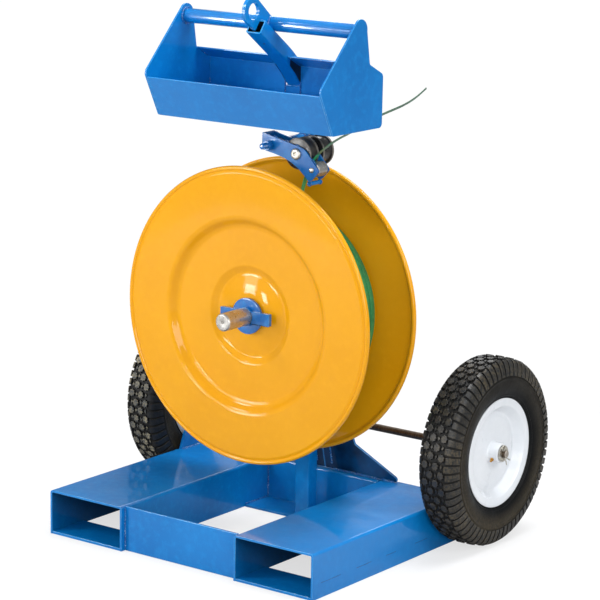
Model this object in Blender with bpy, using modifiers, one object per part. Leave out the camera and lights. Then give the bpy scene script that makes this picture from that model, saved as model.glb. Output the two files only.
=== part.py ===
"""Strapping dispenser cart: fork-pocket base, bent tube mast with a reel on a
cantilevered mandrel, a swinging guide arm, a tool tray with a lifting eye and
two pneumatic wheels on a fixed axle.

Metres, +Z up, floor at Z = 0, X across (left is -X), Y from front to back.
Y values are measured from a datum 0.300 behind the pocket fronts; the cart
empty moves that datum so the origin is the middle of the footprint.
"""
import math

import bmesh
import bpy
from mathutils import Matrix, Vector

# ---------------------------------------------------------------- shared dimensions
GAP = 0.0004      # clearance between fixed parts
CLEAR = 0.0006    # wider clearance, mostly round shafts

FRONT_Y, REAR_Y = -0.3000, 0.2278
POCKET_W, POCKET_H, POCKET_IN_X = 0.2004, 0.0972, 0.1496
CROSS_T = 0.0050

MAST_W, MAST_D, MAST_WALL = 0.0381, 0.0318, 0.0030
MAST_FRONT_Y = 0.1300

TYRE_R, WHEEL_X = 0.2032, 0.3980
AXLE_Y, AXLE_Z, AXLE_R = 0.2460, TYRE_R, 0.0079
DATUM_Y = -(FRONT_Y + AXLE_Y + TYRE_R) / 2

REEL_Z = 0.4906
REEL_FRONT_Y, REEL_REAR_Y = -0.0808, 0.0953

PIVOT_X, PIVOT_Z = 0.0100, 0.8470
SPOOL_X, SPOOL_Z = 0.0787, 0.8354
ROLLER_X, ROLLER_Z = 0.1187, 0.8058

SIDES = ((-1, "left"), (1, "right"))

# ---------------------------------------------------------------- scene setup
for old_object in list(bpy.data.objects):
    bpy.data.objects.remove(old_object, do_unlink=True)
for old_collection in list(bpy.data.collections):
    bpy.data.collections.remove(old_collection)

PARTS = bpy.data.collections.new("strapping_dispenser_cart")
CUTTERS = bpy.data.collections.new("cutters")
bpy.context.scene.collection.children.link(PARTS)
bpy.context.scene.collection.children.link(CUTTERS)

# finish: base colour (RGBA), roughness, metallic
FINISHES = {
    "blue_enamel": ((0.010, 0.125, 0.450, 1), 0.35, 0.0),
    "yellow_enamel": ((0.900, 0.420, 0.015, 1), 0.32, 0.0),
    "white_enamel": ((0.780, 0.800, 0.830, 1), 0.35, 0.0),
    "tyre_rubber": ((0.030, 0.029, 0.027, 1), 0.80, 0.0),
    "tube_rubber": ((0.020, 0.020, 0.020, 1), 0.70, 0.0),
    "turned_steel": ((0.650, 0.640, 0.620, 1), 0.25, 1.0),
    "zinc_steel": ((0.600, 0.590, 0.560, 1), 0.35, 1.0),
    "dark_steel": ((0.120, 0.080, 0.055, 1), 0.55, 0.8),
    "spool_plastic": ((0.025, 0.025, 0.027, 1), 0.40, 0.0),
    "strap_green": ((0.045, 0.400, 0.170, 1), 0.40, 0.0),
    "cardboard": ((0.420, 0.280, 0.160, 1), 0.85, 0.0),
    "brass": ((0.800, 0.420, 0.080, 1), 0.30, 1.0),
}


def make_material(finish, name):
    """A material of its own for one part, in one of the finishes."""
    colour, roughness, metallic = FINISHES[finish]
    material = bpy.data.materials.new(name)
    material.use_nodes = True
    shader = material.node_tree.nodes["Principled BSDF"]
    shader.inputs["Base Color"].default_value = colour
    shader.inputs["Roughness"].default_value = roughness
    shader.inputs["Metallic"].default_value = metallic
    material.diffuse_color = colour
    return material


# ---------------------------------------------------------------- axis empties
EMPTY_SPOTS = {}    # empty name: its position in cart coordinates


def add_empty(name, spot, parent=None):
    """An empty at a cart position; moving parts hang on one set on their axis."""
    axis = bpy.data.objects.new(name, None)
    PARTS.objects.link(axis)
    axis.empty_display_size = 0.05
    base = EMPTY_SPOTS[parent.name] if parent else Vector((0, 0, 0))
    axis.parent = parent
    axis.location = Vector(spot) - base
    EMPTY_SPOTS[name] = Vector(spot)
    return axis


CART = add_empty("cart", (0, 0, 0))
CART.location = (0, DATUM_Y, 0)
REEL_AXIS = add_empty("reel_axis", (0, 0, REEL_Z), CART)
COLLAR_AXIS = add_empty("collar_axis", (0, REEL_FRONT_Y, REEL_Z), CART)
ARM_AXIS = add_empty("arm_axis", (PIVOT_X, 0, PIVOT_Z), CART)
SPOOL_AXIS = add_empty("spool_axis", (SPOOL_X, 0, SPOOL_Z), ARM_AXIS)
ROLLER_AXIS = add_empty("roller_axis", (ROLLER_X, 0, ROLLER_Z), ARM_AXIS)


# ---------------------------------------------------------------- placing and cutting
def move_to(part, collection):
    for old in list(part.users_collection):
        old.objects.unlink(part)
    collection.objects.link(part)


def place(part, name, finish, spot, parent=CART, smooth=35):
    """Name, finish and place one part; smooth is its sharp-edge angle, 0 for flat."""
    part.name = name
    part.data.name = name
    move_to(part, PARTS)
    part.data.materials.clear()
    part.data.materials.append(make_material(finish, name + "_finish"))
    part.parent = parent
    part.location = Vector(spot) - EMPTY_SPOTS[parent.name]
    if smooth:
        part.data.shade_smooth()
        part.data.set_sharp_from_angle(angle=math.radians(smooth))
    return part


def combine(part, tool, name, spot, operation="DIFFERENCE"):
    """Cut a hidden tool body out of a part, or join it on with UNION."""
    tool.name = name
    move_to(tool, CUTTERS)
    tool.hide_render = True
    tool.display_type = "WIRE"
    tool.parent = CART
    tool.location = spot
    boolean = part.modifiers.new(operation.lower() + "_" + name, "BOOLEAN")
    boolean.operation = operation
    boolean.solver = "EXACT"
    boolean.object = tool


# ---------------------------------------------------------------- outlines
def arc_points(centre, radius, degrees):
    return [(centre[0] + radius * math.cos(math.radians(angle)),
             centre[1] + radius * math.sin(math.radians(angle))) for angle in degrees]


def circle_points(radius, count, centre=(0, 0)):
    return arc_points(centre, radius, [360 * i / count for i in range(count)])


def rounded(corners, steps):
    """Outline from (x, y, radius) corners; a radius of 0 keeps the corner sharp."""
    outline = []
    for i, (x, y, radius) in enumerate(corners):
        if radius <= 0:
            outline.append((x, y))
            continue
        corner = Vector((x, y))
        before = (Vector(corners[i - 1][:2]) - corner).normalized()
        after = (Vector(corners[(i + 1) % len(corners)][:2]) - corner).normalized()
        half = 0.5 * before.angle(after)
        setback = radius / math.tan(half)
        centre = corner + (before + after).normalized() * (radius / math.sin(half))
        start = corner + before * setback - centre
        end = corner + after * setback - centre
        start_angle = math.atan2(start.y, start.x)
        end_angle = math.atan2(end.y, end.x)
        sweep = (end_angle - start_angle + math.pi) % (2 * math.pi) - math.pi
        for k in range(steps + 1):
            angle = start_angle + sweep * k / steps
            outline.append((centre.x + radius * math.cos(angle),
                            centre.y + radius * math.sin(angle)))
    return outline


def thick_line(points, thickness):
    """Closed outline of a strip laid to the left of an open line."""
    line = [Vector(point) for point in points]
    steps = [(end - start).normalized() for start, end in zip(line, line[1:])]
    normals = [Vector((-step.y, step.x)) for step in steps]
    offset_line = []
    for i, point in enumerate(line):
        near = normals[max(i - 1, 0):i + 1]
        mitre = sum(near, Vector((0, 0))).normalized()
        offset_line.append(point + mitre * (thickness / mitre.dot(near[0])))
    return [tuple(point) for point in line + offset_line[::-1]]


# ---------------------------------------------------------------- solid shapes
QUARTER = math.radians(90)
# a prism's outline is (y, z) across X and (x, z) across Y
PRISM_TURN = {"X": (QUARTER, 0, QUARTER), "Y": (QUARTER, 0, 0)}
# local +Z of a turned shape points along the named direction
SPIN_TURN = {
    "+X": (0, QUARTER, 0), "-X": (0, -QUARTER, 0),
    "-Y": (QUARTER, 0, 0), "+Y": (-QUARTER, 0, 0),
    "+Z": (0, 0, 0),
}


def add_spline(curve, points, closed=False):
    spline = curve.splines.new("POLY")
    spline.points.add(len(points) - 1)
    for knot, point in zip(spline.points, points):
        knot.co = (*point, 1)
    spline.use_cyclic_u = closed


def solid_from(curve):
    """Mesh object from a curve, with its caps welded on."""
    source = bpy.data.objects.new("source", curve)
    bpy.context.scene.collection.objects.link(source)
    depsgraph = bpy.context.evaluated_depsgraph_get()
    mesh = bpy.data.meshes.new_from_object(source.evaluated_get(depsgraph))
    welder = bmesh.new()
    welder.from_mesh(mesh)
    bmesh.ops.remove_doubles(welder, verts=welder.verts, dist=0.00002)
    bmesh.ops.recalc_face_normals(welder, faces=welder.faces)
    welder.to_mesh(mesh)
    welder.free()
    solid = bpy.data.objects.new("solid", mesh)
    bpy.context.scene.collection.objects.link(solid)
    bpy.data.objects.remove(source, do_unlink=True)
    bpy.data.curves.remove(curve)
    return solid


def prism(outline, depth, axis, holes=()):
    """Flat outline (with holes) given thickness, centred across an axis."""
    curve = bpy.data.curves.new("outline", "CURVE")
    curve.dimensions = "2D"
    curve.fill_mode = "BOTH"
    curve.extrude = depth / 2
    for ring in [outline, *holes]:
        add_spline(curve, [(x, y, 0) for x, y in ring], closed=True)
    solid = solid_from(curve)
    solid.rotation_euler = PRISM_TURN[axis]
    return solid


def line_curve(points, radius, resolution):
    """Curve with a bevelled section along a line of points, capped at both ends."""
    curve = bpy.data.curves.new("line", "CURVE")
    curve.dimensions = "3D"
    curve.bevel_depth = radius
    curve.bevel_resolution = resolution
    curve.use_fill_caps = True
    add_spline(curve, points)
    return curve


def turned(profile, steps, direction):
    """Body turned from an (r, z) profile; closed when it never meets the axis."""
    points = list(profile)
    following = points[1:] + points[:1]
    area = sum(x0 * y1 - x1 * y0 for (x0, y0), (x1, y1) in zip(points, following))
    if area > 0:
        points.reverse()
    builder = bmesh.new()
    verts = [builder.verts.new((r, 0, z)) for r, z in points]
    for start, end in zip(verts, verts[1:]):
        builder.edges.new((start, end))
    if min(r for r, z in points) > 1e-6:
        builder.edges.new((verts[-1], verts[0]))
    mesh = bpy.data.meshes.new("profile")
    builder.to_mesh(mesh)
    builder.free()
    body = bpy.data.objects.new("turned", mesh)
    bpy.context.scene.collection.objects.link(body)
    screw = body.modifiers.new("turn", "SCREW")
    screw.axis = "Z"
    screw.angle = 2 * math.pi
    screw.steps = screw.render_steps = steps
    screw.use_merge_vertices = True
    screw.merge_threshold = 0.00005
    screw.use_smooth_shade = True
    body.rotation_euler = SPIN_TURN[direction]
    return body


def tube(inner, outer, low, high, steps, direction, chamfer=0.0):
    """Turned tube between two local heights; the chamfer is on its outer edges."""
    if chamfer:
        rim = [(outer - chamfer, high), (outer, high - chamfer),
               (outer, low + chamfer), (outer - chamfer, low)]
    else:
        rim = [(outer, high), (outer, low)]
    return turned([(inner, high), *rim, (inner, low)], steps, direction)


def rod(radius, low, high, steps, direction, chamfer=0.0):
    return tube(0, radius, low, high, steps, direction, chamfer)


def hex_nut(corner_r, thickness, bore_r, bore_steps):
    return prism(circle_points(corner_r, 6), thickness, "Y", [circle_points(bore_r, bore_steps)])


def box(low, high, bevel=0.0):
    """Box between two corners; returns it with the position of its centre."""
    bpy.ops.mesh.primitive_cube_add(size=1.0, location=(0, 0, 0))
    block = bpy.context.active_object
    size = [b - a for a, b in zip(low, high)]
    block.data.transform(Matrix.Diagonal((*size, 1.0)))
    if bevel:
        edge = block.modifiers.new("edge", "BEVEL")
        edge.width = bevel
        edge.segments = 2
        edge.limit_method = "ANGLE"
    return block, tuple((a + b) / 2 for a, b in zip(low, high))


# ---------------------------------------------------------------- base frame
POCKET_T, POCKET_BEND, POCKET_IN_BEND = 0.0048, 0.0065, 0.0010
TIE_DEPTH, TIE_T = 0.1000, 0.0060
FRONT_PLATE_T, FRONT_PLATE_SET, FRONT_PLATE_BEVEL = 0.0062, 0.0120, 0.0008
CROSS_FLANGE_Y, CROSS_WEB_Y, CROSS_BEND = 0.1200, 0.2050, 0.0060


def fork_pocket(side, tag):
    """Inverted channel, with a floor plate tying its walls at the front."""
    mid_x = side * (POCKET_IN_X + POCKET_W / 2)
    half = POCKET_W / 2
    inner_half, inner_top = half - POCKET_T, POCKET_H - POCKET_T
    outer = [(-half, 0, 0), (-half, POCKET_H, POCKET_BEND * 0.5),
             (half, POCKET_H, POCKET_BEND), (half, 0, 0)]
    inner = [(inner_half, 0, 0), (inner_half, inner_top, POCKET_BEND - POCKET_T),
             (-inner_half, inner_top, POCKET_IN_BEND), (-inner_half, 0, 0)]
    place(prism(rounded(outer, 3) + rounded(inner, 2), REAR_Y - FRONT_Y, "Y"),
          "fork_pocket_" + tag, "blue_enamel", (mid_x, (REAR_Y + FRONT_Y) / 2, 0))
    tie_half = inner_half - GAP
    tie, centre = box((mid_x - tie_half, FRONT_Y + CLEAR, 0),
                      (mid_x + tie_half, FRONT_Y + TIE_DEPTH, TIE_T))
    place(tie, "pocket_tie_" + tag, "blue_enamel", centre, smooth=0)


for side, tag in SIDES:
    fork_pocket(side, tag)

cross_half = POCKET_IN_X - GAP
plate_y = FRONT_Y + FRONT_PLATE_SET
front_plate, centre = box((-cross_half, plate_y, 0),
                          (cross_half, plate_y + FRONT_PLATE_T, POCKET_H - CLEAR),
                          FRONT_PLATE_BEVEL)
place(front_plate, "front_cross_plate", "blue_enamel", centre, smooth=0)

# Z-section (y, z, radius): floor flange forward, web, top flange back
CROSS_SECTION = [
    (CROSS_FLANGE_Y, CROSS_T, 0), (CROSS_FLANGE_Y, 0, 0),
    (CROSS_WEB_Y + CROSS_T, 0, CROSS_BEND), (CROSS_WEB_Y + CROSS_T, POCKET_H - CROSS_T, 0),
    (REAR_Y, POCKET_H - CROSS_T, 0), (REAR_Y, POCKET_H, 0),
    (CROSS_WEB_Y, POCKET_H, CROSS_BEND), (CROSS_WEB_Y, CROSS_T, 0),
]
place(prism(rounded(CROSS_SECTION, 3), 2 * cross_half, "X"),
      "rear_cross_member", "blue_enamel", (0, 0, 0))

# ---------------------------------------------------------------- mast
MAST_FOOT = CROSS_T + GAP
MAST_BEND_Z, MAST_BEND_R, MAST_BEND_STEPS = 0.8035, 0.2750, 10
MAST_SWEEP_DEG = 54.0
MAST_ARM_LEN = 0.0975
BORE_OVERRUN = 0.0200    # the bore passes both mast ends by this much

sweep = math.radians(MAST_SWEEP_DEG)
BEND_CENTRE = Vector((MAST_FRONT_Y - MAST_BEND_R, MAST_BEND_Z))
SLOPE_DIR = Vector((-math.sin(sweep), math.cos(sweep)))      # up the sloping arm
SLOPE_NORMAL = Vector((math.cos(sweep), math.sin(sweep)))    # out of its upper face


def mast_face(offset, overrun=0.0):
    """Side-view (y, z) line at an offset behind the mast's front face."""
    bend = arc_points(BEND_CENTRE, MAST_BEND_R + offset,
                      [MAST_SWEEP_DEG * k / MAST_BEND_STEPS for k in range(MAST_BEND_STEPS + 1)])
    end = Vector(bend[-1]) + SLOPE_DIR * (MAST_ARM_LEN + overrun)
    return [(MAST_FRONT_Y + offset, MAST_FOOT - overrun), *bend, tuple(end)]


def mast_point(along, offset):
    """Point on the sloping arm: distance past the bend, height off its lower face."""
    return BEND_CENTRE + SLOPE_NORMAL * (MAST_BEND_R + offset) + SLOPE_DIR * along


mast = place(prism(mast_face(0) + mast_face(MAST_D)[::-1], MAST_W, "X"),
             "mast", "blue_enamel", (0, 0, 0))
bore_outline = (mast_face(MAST_WALL, BORE_OVERRUN)
                + mast_face(MAST_D - MAST_WALL, BORE_OVERRUN)[::-1])
combine(mast, prism(bore_outline, MAST_W - 2 * MAST_WALL, "X"), "mast_bore", (0, 0, 0))

# leaning gussets behind the mast, on the cross member and pockets
GUSSET_T, GUSSET_FOOT_Y, GUSSET_TOP_Y, GUSSET_TOP_Z = 0.0050, 0.2200, 0.1670, 0.3250
GUSSET_LIFT = GAP + 0.0010
lean = math.atan2(GUSSET_FOOT_Y - GUSSET_TOP_Y, GUSSET_TOP_Z - POCKET_H)
gusset_top = (GUSSET_TOP_Z - POCKET_H) / math.cos(lean) - 0.002
# x outward from the centre line, height up the slope, corner radius
GUSSET = [
    (0.0010, 0.0, 0), (0.1920, 0.0, 0.004), (0.1940, 0.0090, 0.006), (0.0900, 0.0730, 0.006),
    (0.0840, 0.1050, 0.03), (0.0190, gusset_top, 0), (0.0010, gusset_top, 0),
]
for side, tag in SIDES:
    outline = rounded([(side * x, z, radius) for x, z, radius in GUSSET], 2)
    gusset = place(prism(outline, GUSSET_T, "Y"), "rear_gusset_" + tag, "blue_enamel",
                   (0, GUSSET_FOOT_Y, POCKET_H + GUSSET_LIFT))
    gusset.rotation_euler = (QUARTER + lean, 0, 0)

# ---------------------------------------------------------------- axle
BRACKET_X, BRACKET_T = 0.3400, 0.0060
# y, z, corner radius
BRACKET = [
    (0.1240, POCKET_H + GAP, 0), (REAR_Y - 0.004, POCKET_H + GAP, 0.004),
    (AXLE_Y + 0.026, AXLE_Z - 0.006, 0.018), (AXLE_Y + 0.014, AXLE_Z + 0.028, 0.016),
    (AXLE_Y - 0.024, AXLE_Z + 0.028, 0.016), (0.1385, 0.1330, 0.02),
]
AXLE_HALF, AXLE_CHAMFER = 0.4530, 0.001
AXLE_WASHER_X, AXLE_WASHER_R, AXLE_WASHER_HALF_T = 0.4435, 0.0175, 0.0014
COTTER_X, COTTER_R, COTTER_HOLE_R, COTTER_HOLE_HALF = 0.4480, 0.0015, 0.0021, 0.02
# y, z: straight leg, then an open loop above the axle
COTTER_LINE = [(0, -0.0180), (0, 0.0120)] + arc_points((0, 0.0175), 0.0055, range(-50, 191, 40))

axle = place(rod(AXLE_R, -AXLE_HALF, AXLE_HALF, 16, "+X", AXLE_CHAMFER), "wheel_axle",
             "dark_steel", (0, AXLE_Y, AXLE_Z))


def axle_end(side, tag):
    """Bracket on top of the pocket, end washer and cotter pin."""
    hole = circle_points(AXLE_R + CLEAR, 16, (AXLE_Y, AXLE_Z))
    place(prism(rounded(BRACKET, 3), BRACKET_T, "X", [hole]), "axle_bracket_" + tag,
          "blue_enamel", (side * BRACKET_X, 0, 0))
    place(tube(AXLE_R + GAP, AXLE_WASHER_R, -AXLE_WASHER_HALF_T, AXLE_WASHER_HALF_T, 20, "+X"),
          "axle_washer_" + tag, "zinc_steel", (side * AXLE_WASHER_X, AXLE_Y, AXLE_Z))
    cotter_spot = (side * COTTER_X, AXLE_Y, AXLE_Z)
    combine(axle, rod(COTTER_HOLE_R, -COTTER_HOLE_HALF, COTTER_HOLE_HALF, 8, "+Z"),
            "cotter_hole_" + tag, cotter_spot)
    pin = solid_from(line_curve([(0, y, z) for y, z in COTTER_LINE], COTTER_R, 1))
    place(pin, "cotter_pin_" + tag, "zinc_steel", cotter_spot)


for side, tag in SIDES:
    axle_end(side, tag)

# ---------------------------------------------------------------- wheels
# (r, z) profiles, z along the axle and positive away from the cart
TYRE_OUTER = [(TYRE_R, 0.0230), (0.1965, 0.0380), (0.1740, 0.0440), (0.1500, 0.0450),
              (0.1190, 0.0320), (0.1018, 0.0320)]
TYRE_INNER = [(0.1018, 0.0220), (0.1380, 0.0345), (0.1600, 0.0375), (0.1905, 0.0190)]
# C section: outer face from bead to bead, then back along the cavity
TYRE = (TYRE_OUTER[::-1] + [(r, -z) for r, z in TYRE_OUTER]
        + [(r, -z) for r, z in TYRE_INNER] + TYRE_INNER[::-1])
# rim bed from outer to inner edge, then back round the disc
RIM = [
    (0.1176, 0.0358), (0.1176, 0.0330), (0.1010, 0.0325), (0.0880, 0.0170),
    (0.0880, -0.0170), (0.1010, -0.0325), (0.1176, -0.0330), (0.1176, -0.0358),
    (0.0980, -0.0352), (0.0850, -0.0160), (0.0850, 0.0080), (0.0720, 0.0165),
    (0.0215, 0.0165), (0.0215, 0.0195), (0.0740, 0.0195), (0.0850, 0.0165),
    (0.0980, 0.0352),
]
INNER_TUBE = circle_points(0.0315, 8, (0.1500, 0))
VALVE_SET = 0.0040                                        # towards the cart
STEM_R, STEM_LOW, STEM_HIGH = 0.0040, 0.0660, 0.1260
PORT_R, PORT_LOW, PORT_HIGH = 0.0048, 0.0700, 0.1100
HUB_IN, HUB_OUT, HUB_R, HUB_BORE = -0.0480, 0.0430, 0.0210, 0.0165
BEARING_HALF, BEARING_SET = 0.0060, 0.0065                # half length, centre from hub end
GREASE_NIPPLE = [
    (0, 0.0070), (0.0022, 0.0068), (0.0026, 0.0045), (0.0040, 0.0040),
    (0.0040, 0.0012), (0.0020, 0.0010), (0.0020, -0.0030), (0, -0.0030),
]
GREASE_OUT_X, GREASE_TURN = 0.0300, math.radians(122)     # turned from +Z towards -Y
GREASE_PORT_R, GREASE_PORT_HALF = 0.0024, 0.006


def wheel(side, tag):
    axis = add_empty("wheel_axis_" + tag, (side * WHEEL_X, AXLE_Y, AXLE_Z), CART)
    outward = "+X" if side > 0 else "-X"
    centre = EMPTY_SPOTS[axis.name]
    place(turned(TYRE, 30, outward), "tyre_" + tag, "tyre_rubber", centre, axis)
    rim = place(turned(RIM, 24, outward), "rim_" + tag, "white_enamel", centre, axis)
    inner_tube = place(turned(INNER_TUBE, 20, outward), "inner_tube_" + tag, "tube_rubber",
                       centre, axis)
    hub = place(tube(HUB_BORE, HUB_R, HUB_IN, HUB_OUT, 20, outward),
                "hub_" + tag, "white_enamel", centre, axis)

    # the valve stem leaves the tube and passes inward through the rim
    valve_spot = centre - Vector((side * VALVE_SET, 0, 0))
    combine(inner_tube, rod(STEM_R, STEM_LOW, STEM_HIGH, 8, "+Z"), "valve_stem_" + tag,
            valve_spot, "UNION")
    combine(rim, rod(PORT_R, PORT_LOW, PORT_HIGH, 8, "+Z"), "valve_port_" + tag, valve_spot)

    for end, out_x in (("outer", HUB_OUT - BEARING_SET), ("inner", HUB_IN + BEARING_SET)):
        bearing = tube(AXLE_R + CLEAR, HUB_BORE - CLEAR, -BEARING_HALF, BEARING_HALF,
                       16, outward)
        place(bearing, f"hub_bearing_{end}_{tag}", "zinc_steel",
              centre + Vector((side * out_x, 0, 0)), axis)

    # grease fitting screwed into the hub between the disc and the washer
    grease_spot = centre + Vector((side * GREASE_OUT_X, -HUB_R * math.sin(GREASE_TURN),
                                   HUB_R * math.cos(GREASE_TURN)))
    fitting = place(turned(GREASE_NIPPLE, 12, "+Z"), "grease_fitting_" + tag, "brass",
                    grease_spot, axis)
    port = rod(GREASE_PORT_R, -GREASE_PORT_HALF, GREASE_PORT_HALF, 12, "+Z")
    combine(hub, port, "grease_port_" + tag, grease_spot)
    fitting.rotation_euler = port.rotation_euler = (GREASE_TURN, 0, 0)


for side, tag in SIDES:
    wheel(side, tag)

# ---------------------------------------------------------------- reel
FLANGE_R, BEAD_R, SHEET = 0.3178, 0.0050, 0.0018
STEP1_OUT, STEP1_IN, STEP2_OUT, STEP2_IN = 0.2076, 0.1914, 0.1050, 0.0900
STEP1_DROP, STEP2_DROP = 0.0170, 0.0220
HUB_RECESS, HUB_STANDOUT, DOME_R = 0.0170, 0.0005, 0.0580
REEL_HUB_R, REEL_BORE_R = 0.0260, 0.0197
CORE_R, CORE_T, CORE_END_GAP = 0.2038, 0.0030, 0.0075
COIL_R, COIL_CORE_GAP, COIL_END_GAP = 0.2150, 0.0010, 0.0046


def flange_profile():
    """Stamped sheet flange: rolled bead, two cone steps, shallow dome to the hub."""
    face = [
        (REEL_HUB_R + CLEAR, -HUB_RECESS), (DOME_R, -HUB_RECESS - 0.0010),
        (STEP2_IN, -STEP2_DROP), (STEP2_OUT, -STEP1_DROP), (STEP1_IN, -STEP1_DROP),
        (STEP1_OUT, 0.0), (FLANGE_R - 2 * BEAD_R, 0.0),
    ]
    bead = arc_points((FLANGE_R - BEAD_R, -BEAD_R), BEAD_R, (45, -10, -70, -130))
    back = [(r, z - SHEET) for r, z in reversed(face)]
    return face + bead + back


place(turned(flange_profile(), 40, "-Y"), "reel_front_flange", "yellow_enamel",
      (0, REEL_FRONT_Y, REEL_Z), REEL_AXIS)
place(turned(flange_profile(), 40, "+Y"), "reel_rear_flange", "yellow_enamel",
      (0, REEL_REAR_Y, REEL_Z), REEL_AXIS)
reel_half = (REEL_REAR_Y - REEL_FRONT_Y) / 2
reel_mid_y = (REEL_REAR_Y + REEL_FRONT_Y) / 2
reel_mid = (0, reel_mid_y, REEL_Z)
core_half = reel_half - CORE_END_GAP
place(tube(CORE_R, CORE_R + CORE_T, -core_half, core_half, 36, "-Y"),
      "coil_core", "cardboard", reel_mid, REEL_AXIS)
coil_half = reel_half - SHEET - COIL_END_GAP
place(tube(CORE_R + CORE_T + COIL_CORE_GAP, COIL_R, -coil_half, coil_half, 36, "-Y"),
      "strap_coil", "strap_green", reel_mid, REEL_AXIS)
hub_half = reel_half - HUB_RECESS + HUB_STANDOUT
place(tube(REEL_BORE_R, REEL_HUB_R, -hub_half, hub_half, 24, "-Y"),
      "reel_hub", "zinc_steel", reel_mid, REEL_AXIS)

# ---------------------------------------------------------------- mandrel
# shapes turned along -Y: their local z is minus the cart's Y
MANDREL_R, MANDREL_FRONT_Y, MANDREL_CHAMFER = 0.01905, -0.1550, 0.0015
STOP_R = 0.0320
COLLAR_BORE_R, COLLAR_R, COLLAR_T = MANDREL_R + 0.0007, 0.0385, 0.0065
THRUST_R, THRUST_T, THRUST_GAP = 0.0330, 0.0020, 0.0005
WING_HALF_X, WING_HALF_Z, WING_CORNER_R = 0.0645, 0.0132, 0.002
WING_DEPTH, WING_SET = 0.0090, 0.0090

place(rod(MANDREL_R, -MAST_FRONT_Y + GAP, -MANDREL_FRONT_Y, 24, "-Y", MANDREL_CHAMFER),
      "mandrel", "turned_steel", (0, 0, REEL_Z))
# stop collar behind the reel
stop_front = reel_mid_y + hub_half + CLEAR
place(tube(MANDREL_R + CLEAR, STOP_R, -MAST_FRONT_Y + GAP, -stop_front, 24, "-Y"),
      "mandrel_stop_collar", "blue_enamel", (0, 0, REEL_Z))

# thrust washer and winged collar in front of the reel
washer_y = reel_mid_y - hub_half - THRUST_GAP
place(tube(COLLAR_BORE_R, THRUST_R, 0.0, THRUST_T, 24, "-Y"),
      "thrust_washer", "zinc_steel", (0, washer_y, REEL_Z), COLLAR_AXIS)
collar_y = washer_y - THRUST_T - GAP
collar = place(rod(COLLAR_R, 0.0, COLLAR_T, 28, "-Y"),
               "wing_collar", "blue_enamel", (0, collar_y, REEL_Z), COLLAR_AXIS)
wing_corners = [(x * WING_HALF_X, z * WING_HALF_Z, WING_CORNER_R)
                for x, z in ((-1, -1), (1, -1), (1, 1), (-1, 1))]
combine(collar, prism(rounded(wing_corners, 2), WING_DEPTH, "Y"), "wing_bar",
        (0, collar_y - WING_SET, REEL_Z), "UNION")
combine(collar, rod(COLLAR_BORE_R, -0.01, 0.03, 24, "-Y"), "collar_bore",
        (0, collar_y, REEL_Z))

# ---------------------------------------------------------------- tool tray
TRAY_HALF, TRAY_END_T, TRAY_T = 0.2286, 0.0040, 0.0030
# side view corners (y, z)
FRONT_LIP, FRONT_FLOOR = (-0.1330, 0.9790), (-0.0915, 0.8955)
REAR_FLOOR, REAR_TOP, REAR_LIP = (0.0790, 0.8955), (0.0800, 1.0060), (0.0320, 1.0300)
LOBE, LOBE_R = (-0.0020, 1.1015), 0.0230    # round top of the end plates
END_RISE = 0.0120                           # end plates above the front lip
NOTCH_Y, NOTCH_Z = (0.020, 0.100), (0.9600, 1.060)
HANDLE_R, HANDLE_WALL = 0.0155, 0.0030

tray_inner_half = TRAY_HALF - TRAY_END_T - GAP
tray_line = [FRONT_LIP, FRONT_FLOOR, REAR_FLOOR, REAR_TOP, REAR_LIP]
trough = place(prism(thick_line(tray_line, TRAY_T), 2 * tray_inner_half, "X"),
               "tray_trough", "blue_enamel", (0, 0, 0), smooth=20)
notch, centre = box((-MAST_W / 2 - GAP, NOTCH_Y[0], NOTCH_Z[0]),
                    (MAST_W / 2 + GAP, NOTCH_Y[1], NOTCH_Z[1]))
combine(trough, notch, "mast_notch", centre)

front_dir = (Vector(FRONT_LIP) - Vector(FRONT_FLOOR)).normalized()
end_top = Vector(FRONT_LIP) + END_RISE * front_dir
lobe_arc = arc_points(LOBE, LOBE_R, range(-8, 136, 18))
end_corners = [(*FRONT_FLOOR, 0.004), (*REAR_FLOOR, 0.010), (*REAR_TOP, 0.012),
               (*REAR_LIP, 0.006), *[(y, z, 0) for y, z in lobe_arc], (*end_top, 0.014)]
for side, tag in SIDES:
    place(prism(rounded(end_corners, 3), TRAY_END_T, "X"), "tray_end_" + tag, "blue_enamel",
          (side * (TRAY_HALF - TRAY_END_T / 2), 0, 0), smooth=20)

# the handle rests on the sloping arm, slid along it to the lobe's Y
handle = mast_point(0.0, MAST_D + HANDLE_R + GAP)
handle += SLOPE_DIR * ((handle.x - LOBE[0]) / math.sin(sweep))
place(tube(HANDLE_R - HANDLE_WALL, HANDLE_R, -tray_inner_half, tray_inner_half, 16, "+X"),
      "tray_handle", "blue_enamel", (0, handle.x, handle.y))

# ---------------------------------------------------------------- lifting eye
# plate on top of the mast arm and over its mouth, coped to the handle
EYE, EYE_R, EYE_HOLE_R, EYE_T = (-0.0650, 1.1280), 0.0300, 0.0175, 0.0080
EYE_FOOT_ALONG, EYE_LOW_OFFSET = 0.0735, 0.0060
eye_outline = [
    tuple(mast_point(MAST_ARM_LEN + GAP, EYE_LOW_OFFSET)),
    tuple(mast_point(MAST_ARM_LEN + GAP, MAST_D + GAP)),
    tuple(mast_point(EYE_FOOT_ALONG, MAST_D + GAP)),
    *arc_points(handle, HANDLE_R + CLEAR, range(205, 104, -20)),
    *arc_points(EYE, EYE_R, range(75, 226, 25)),
]
place(prism(eye_outline, EYE_T, "X", [circle_points(EYE_HOLE_R, 16, EYE)]),
      "lifting_eye", "blue_enamel", (0, 0, 0))

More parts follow.
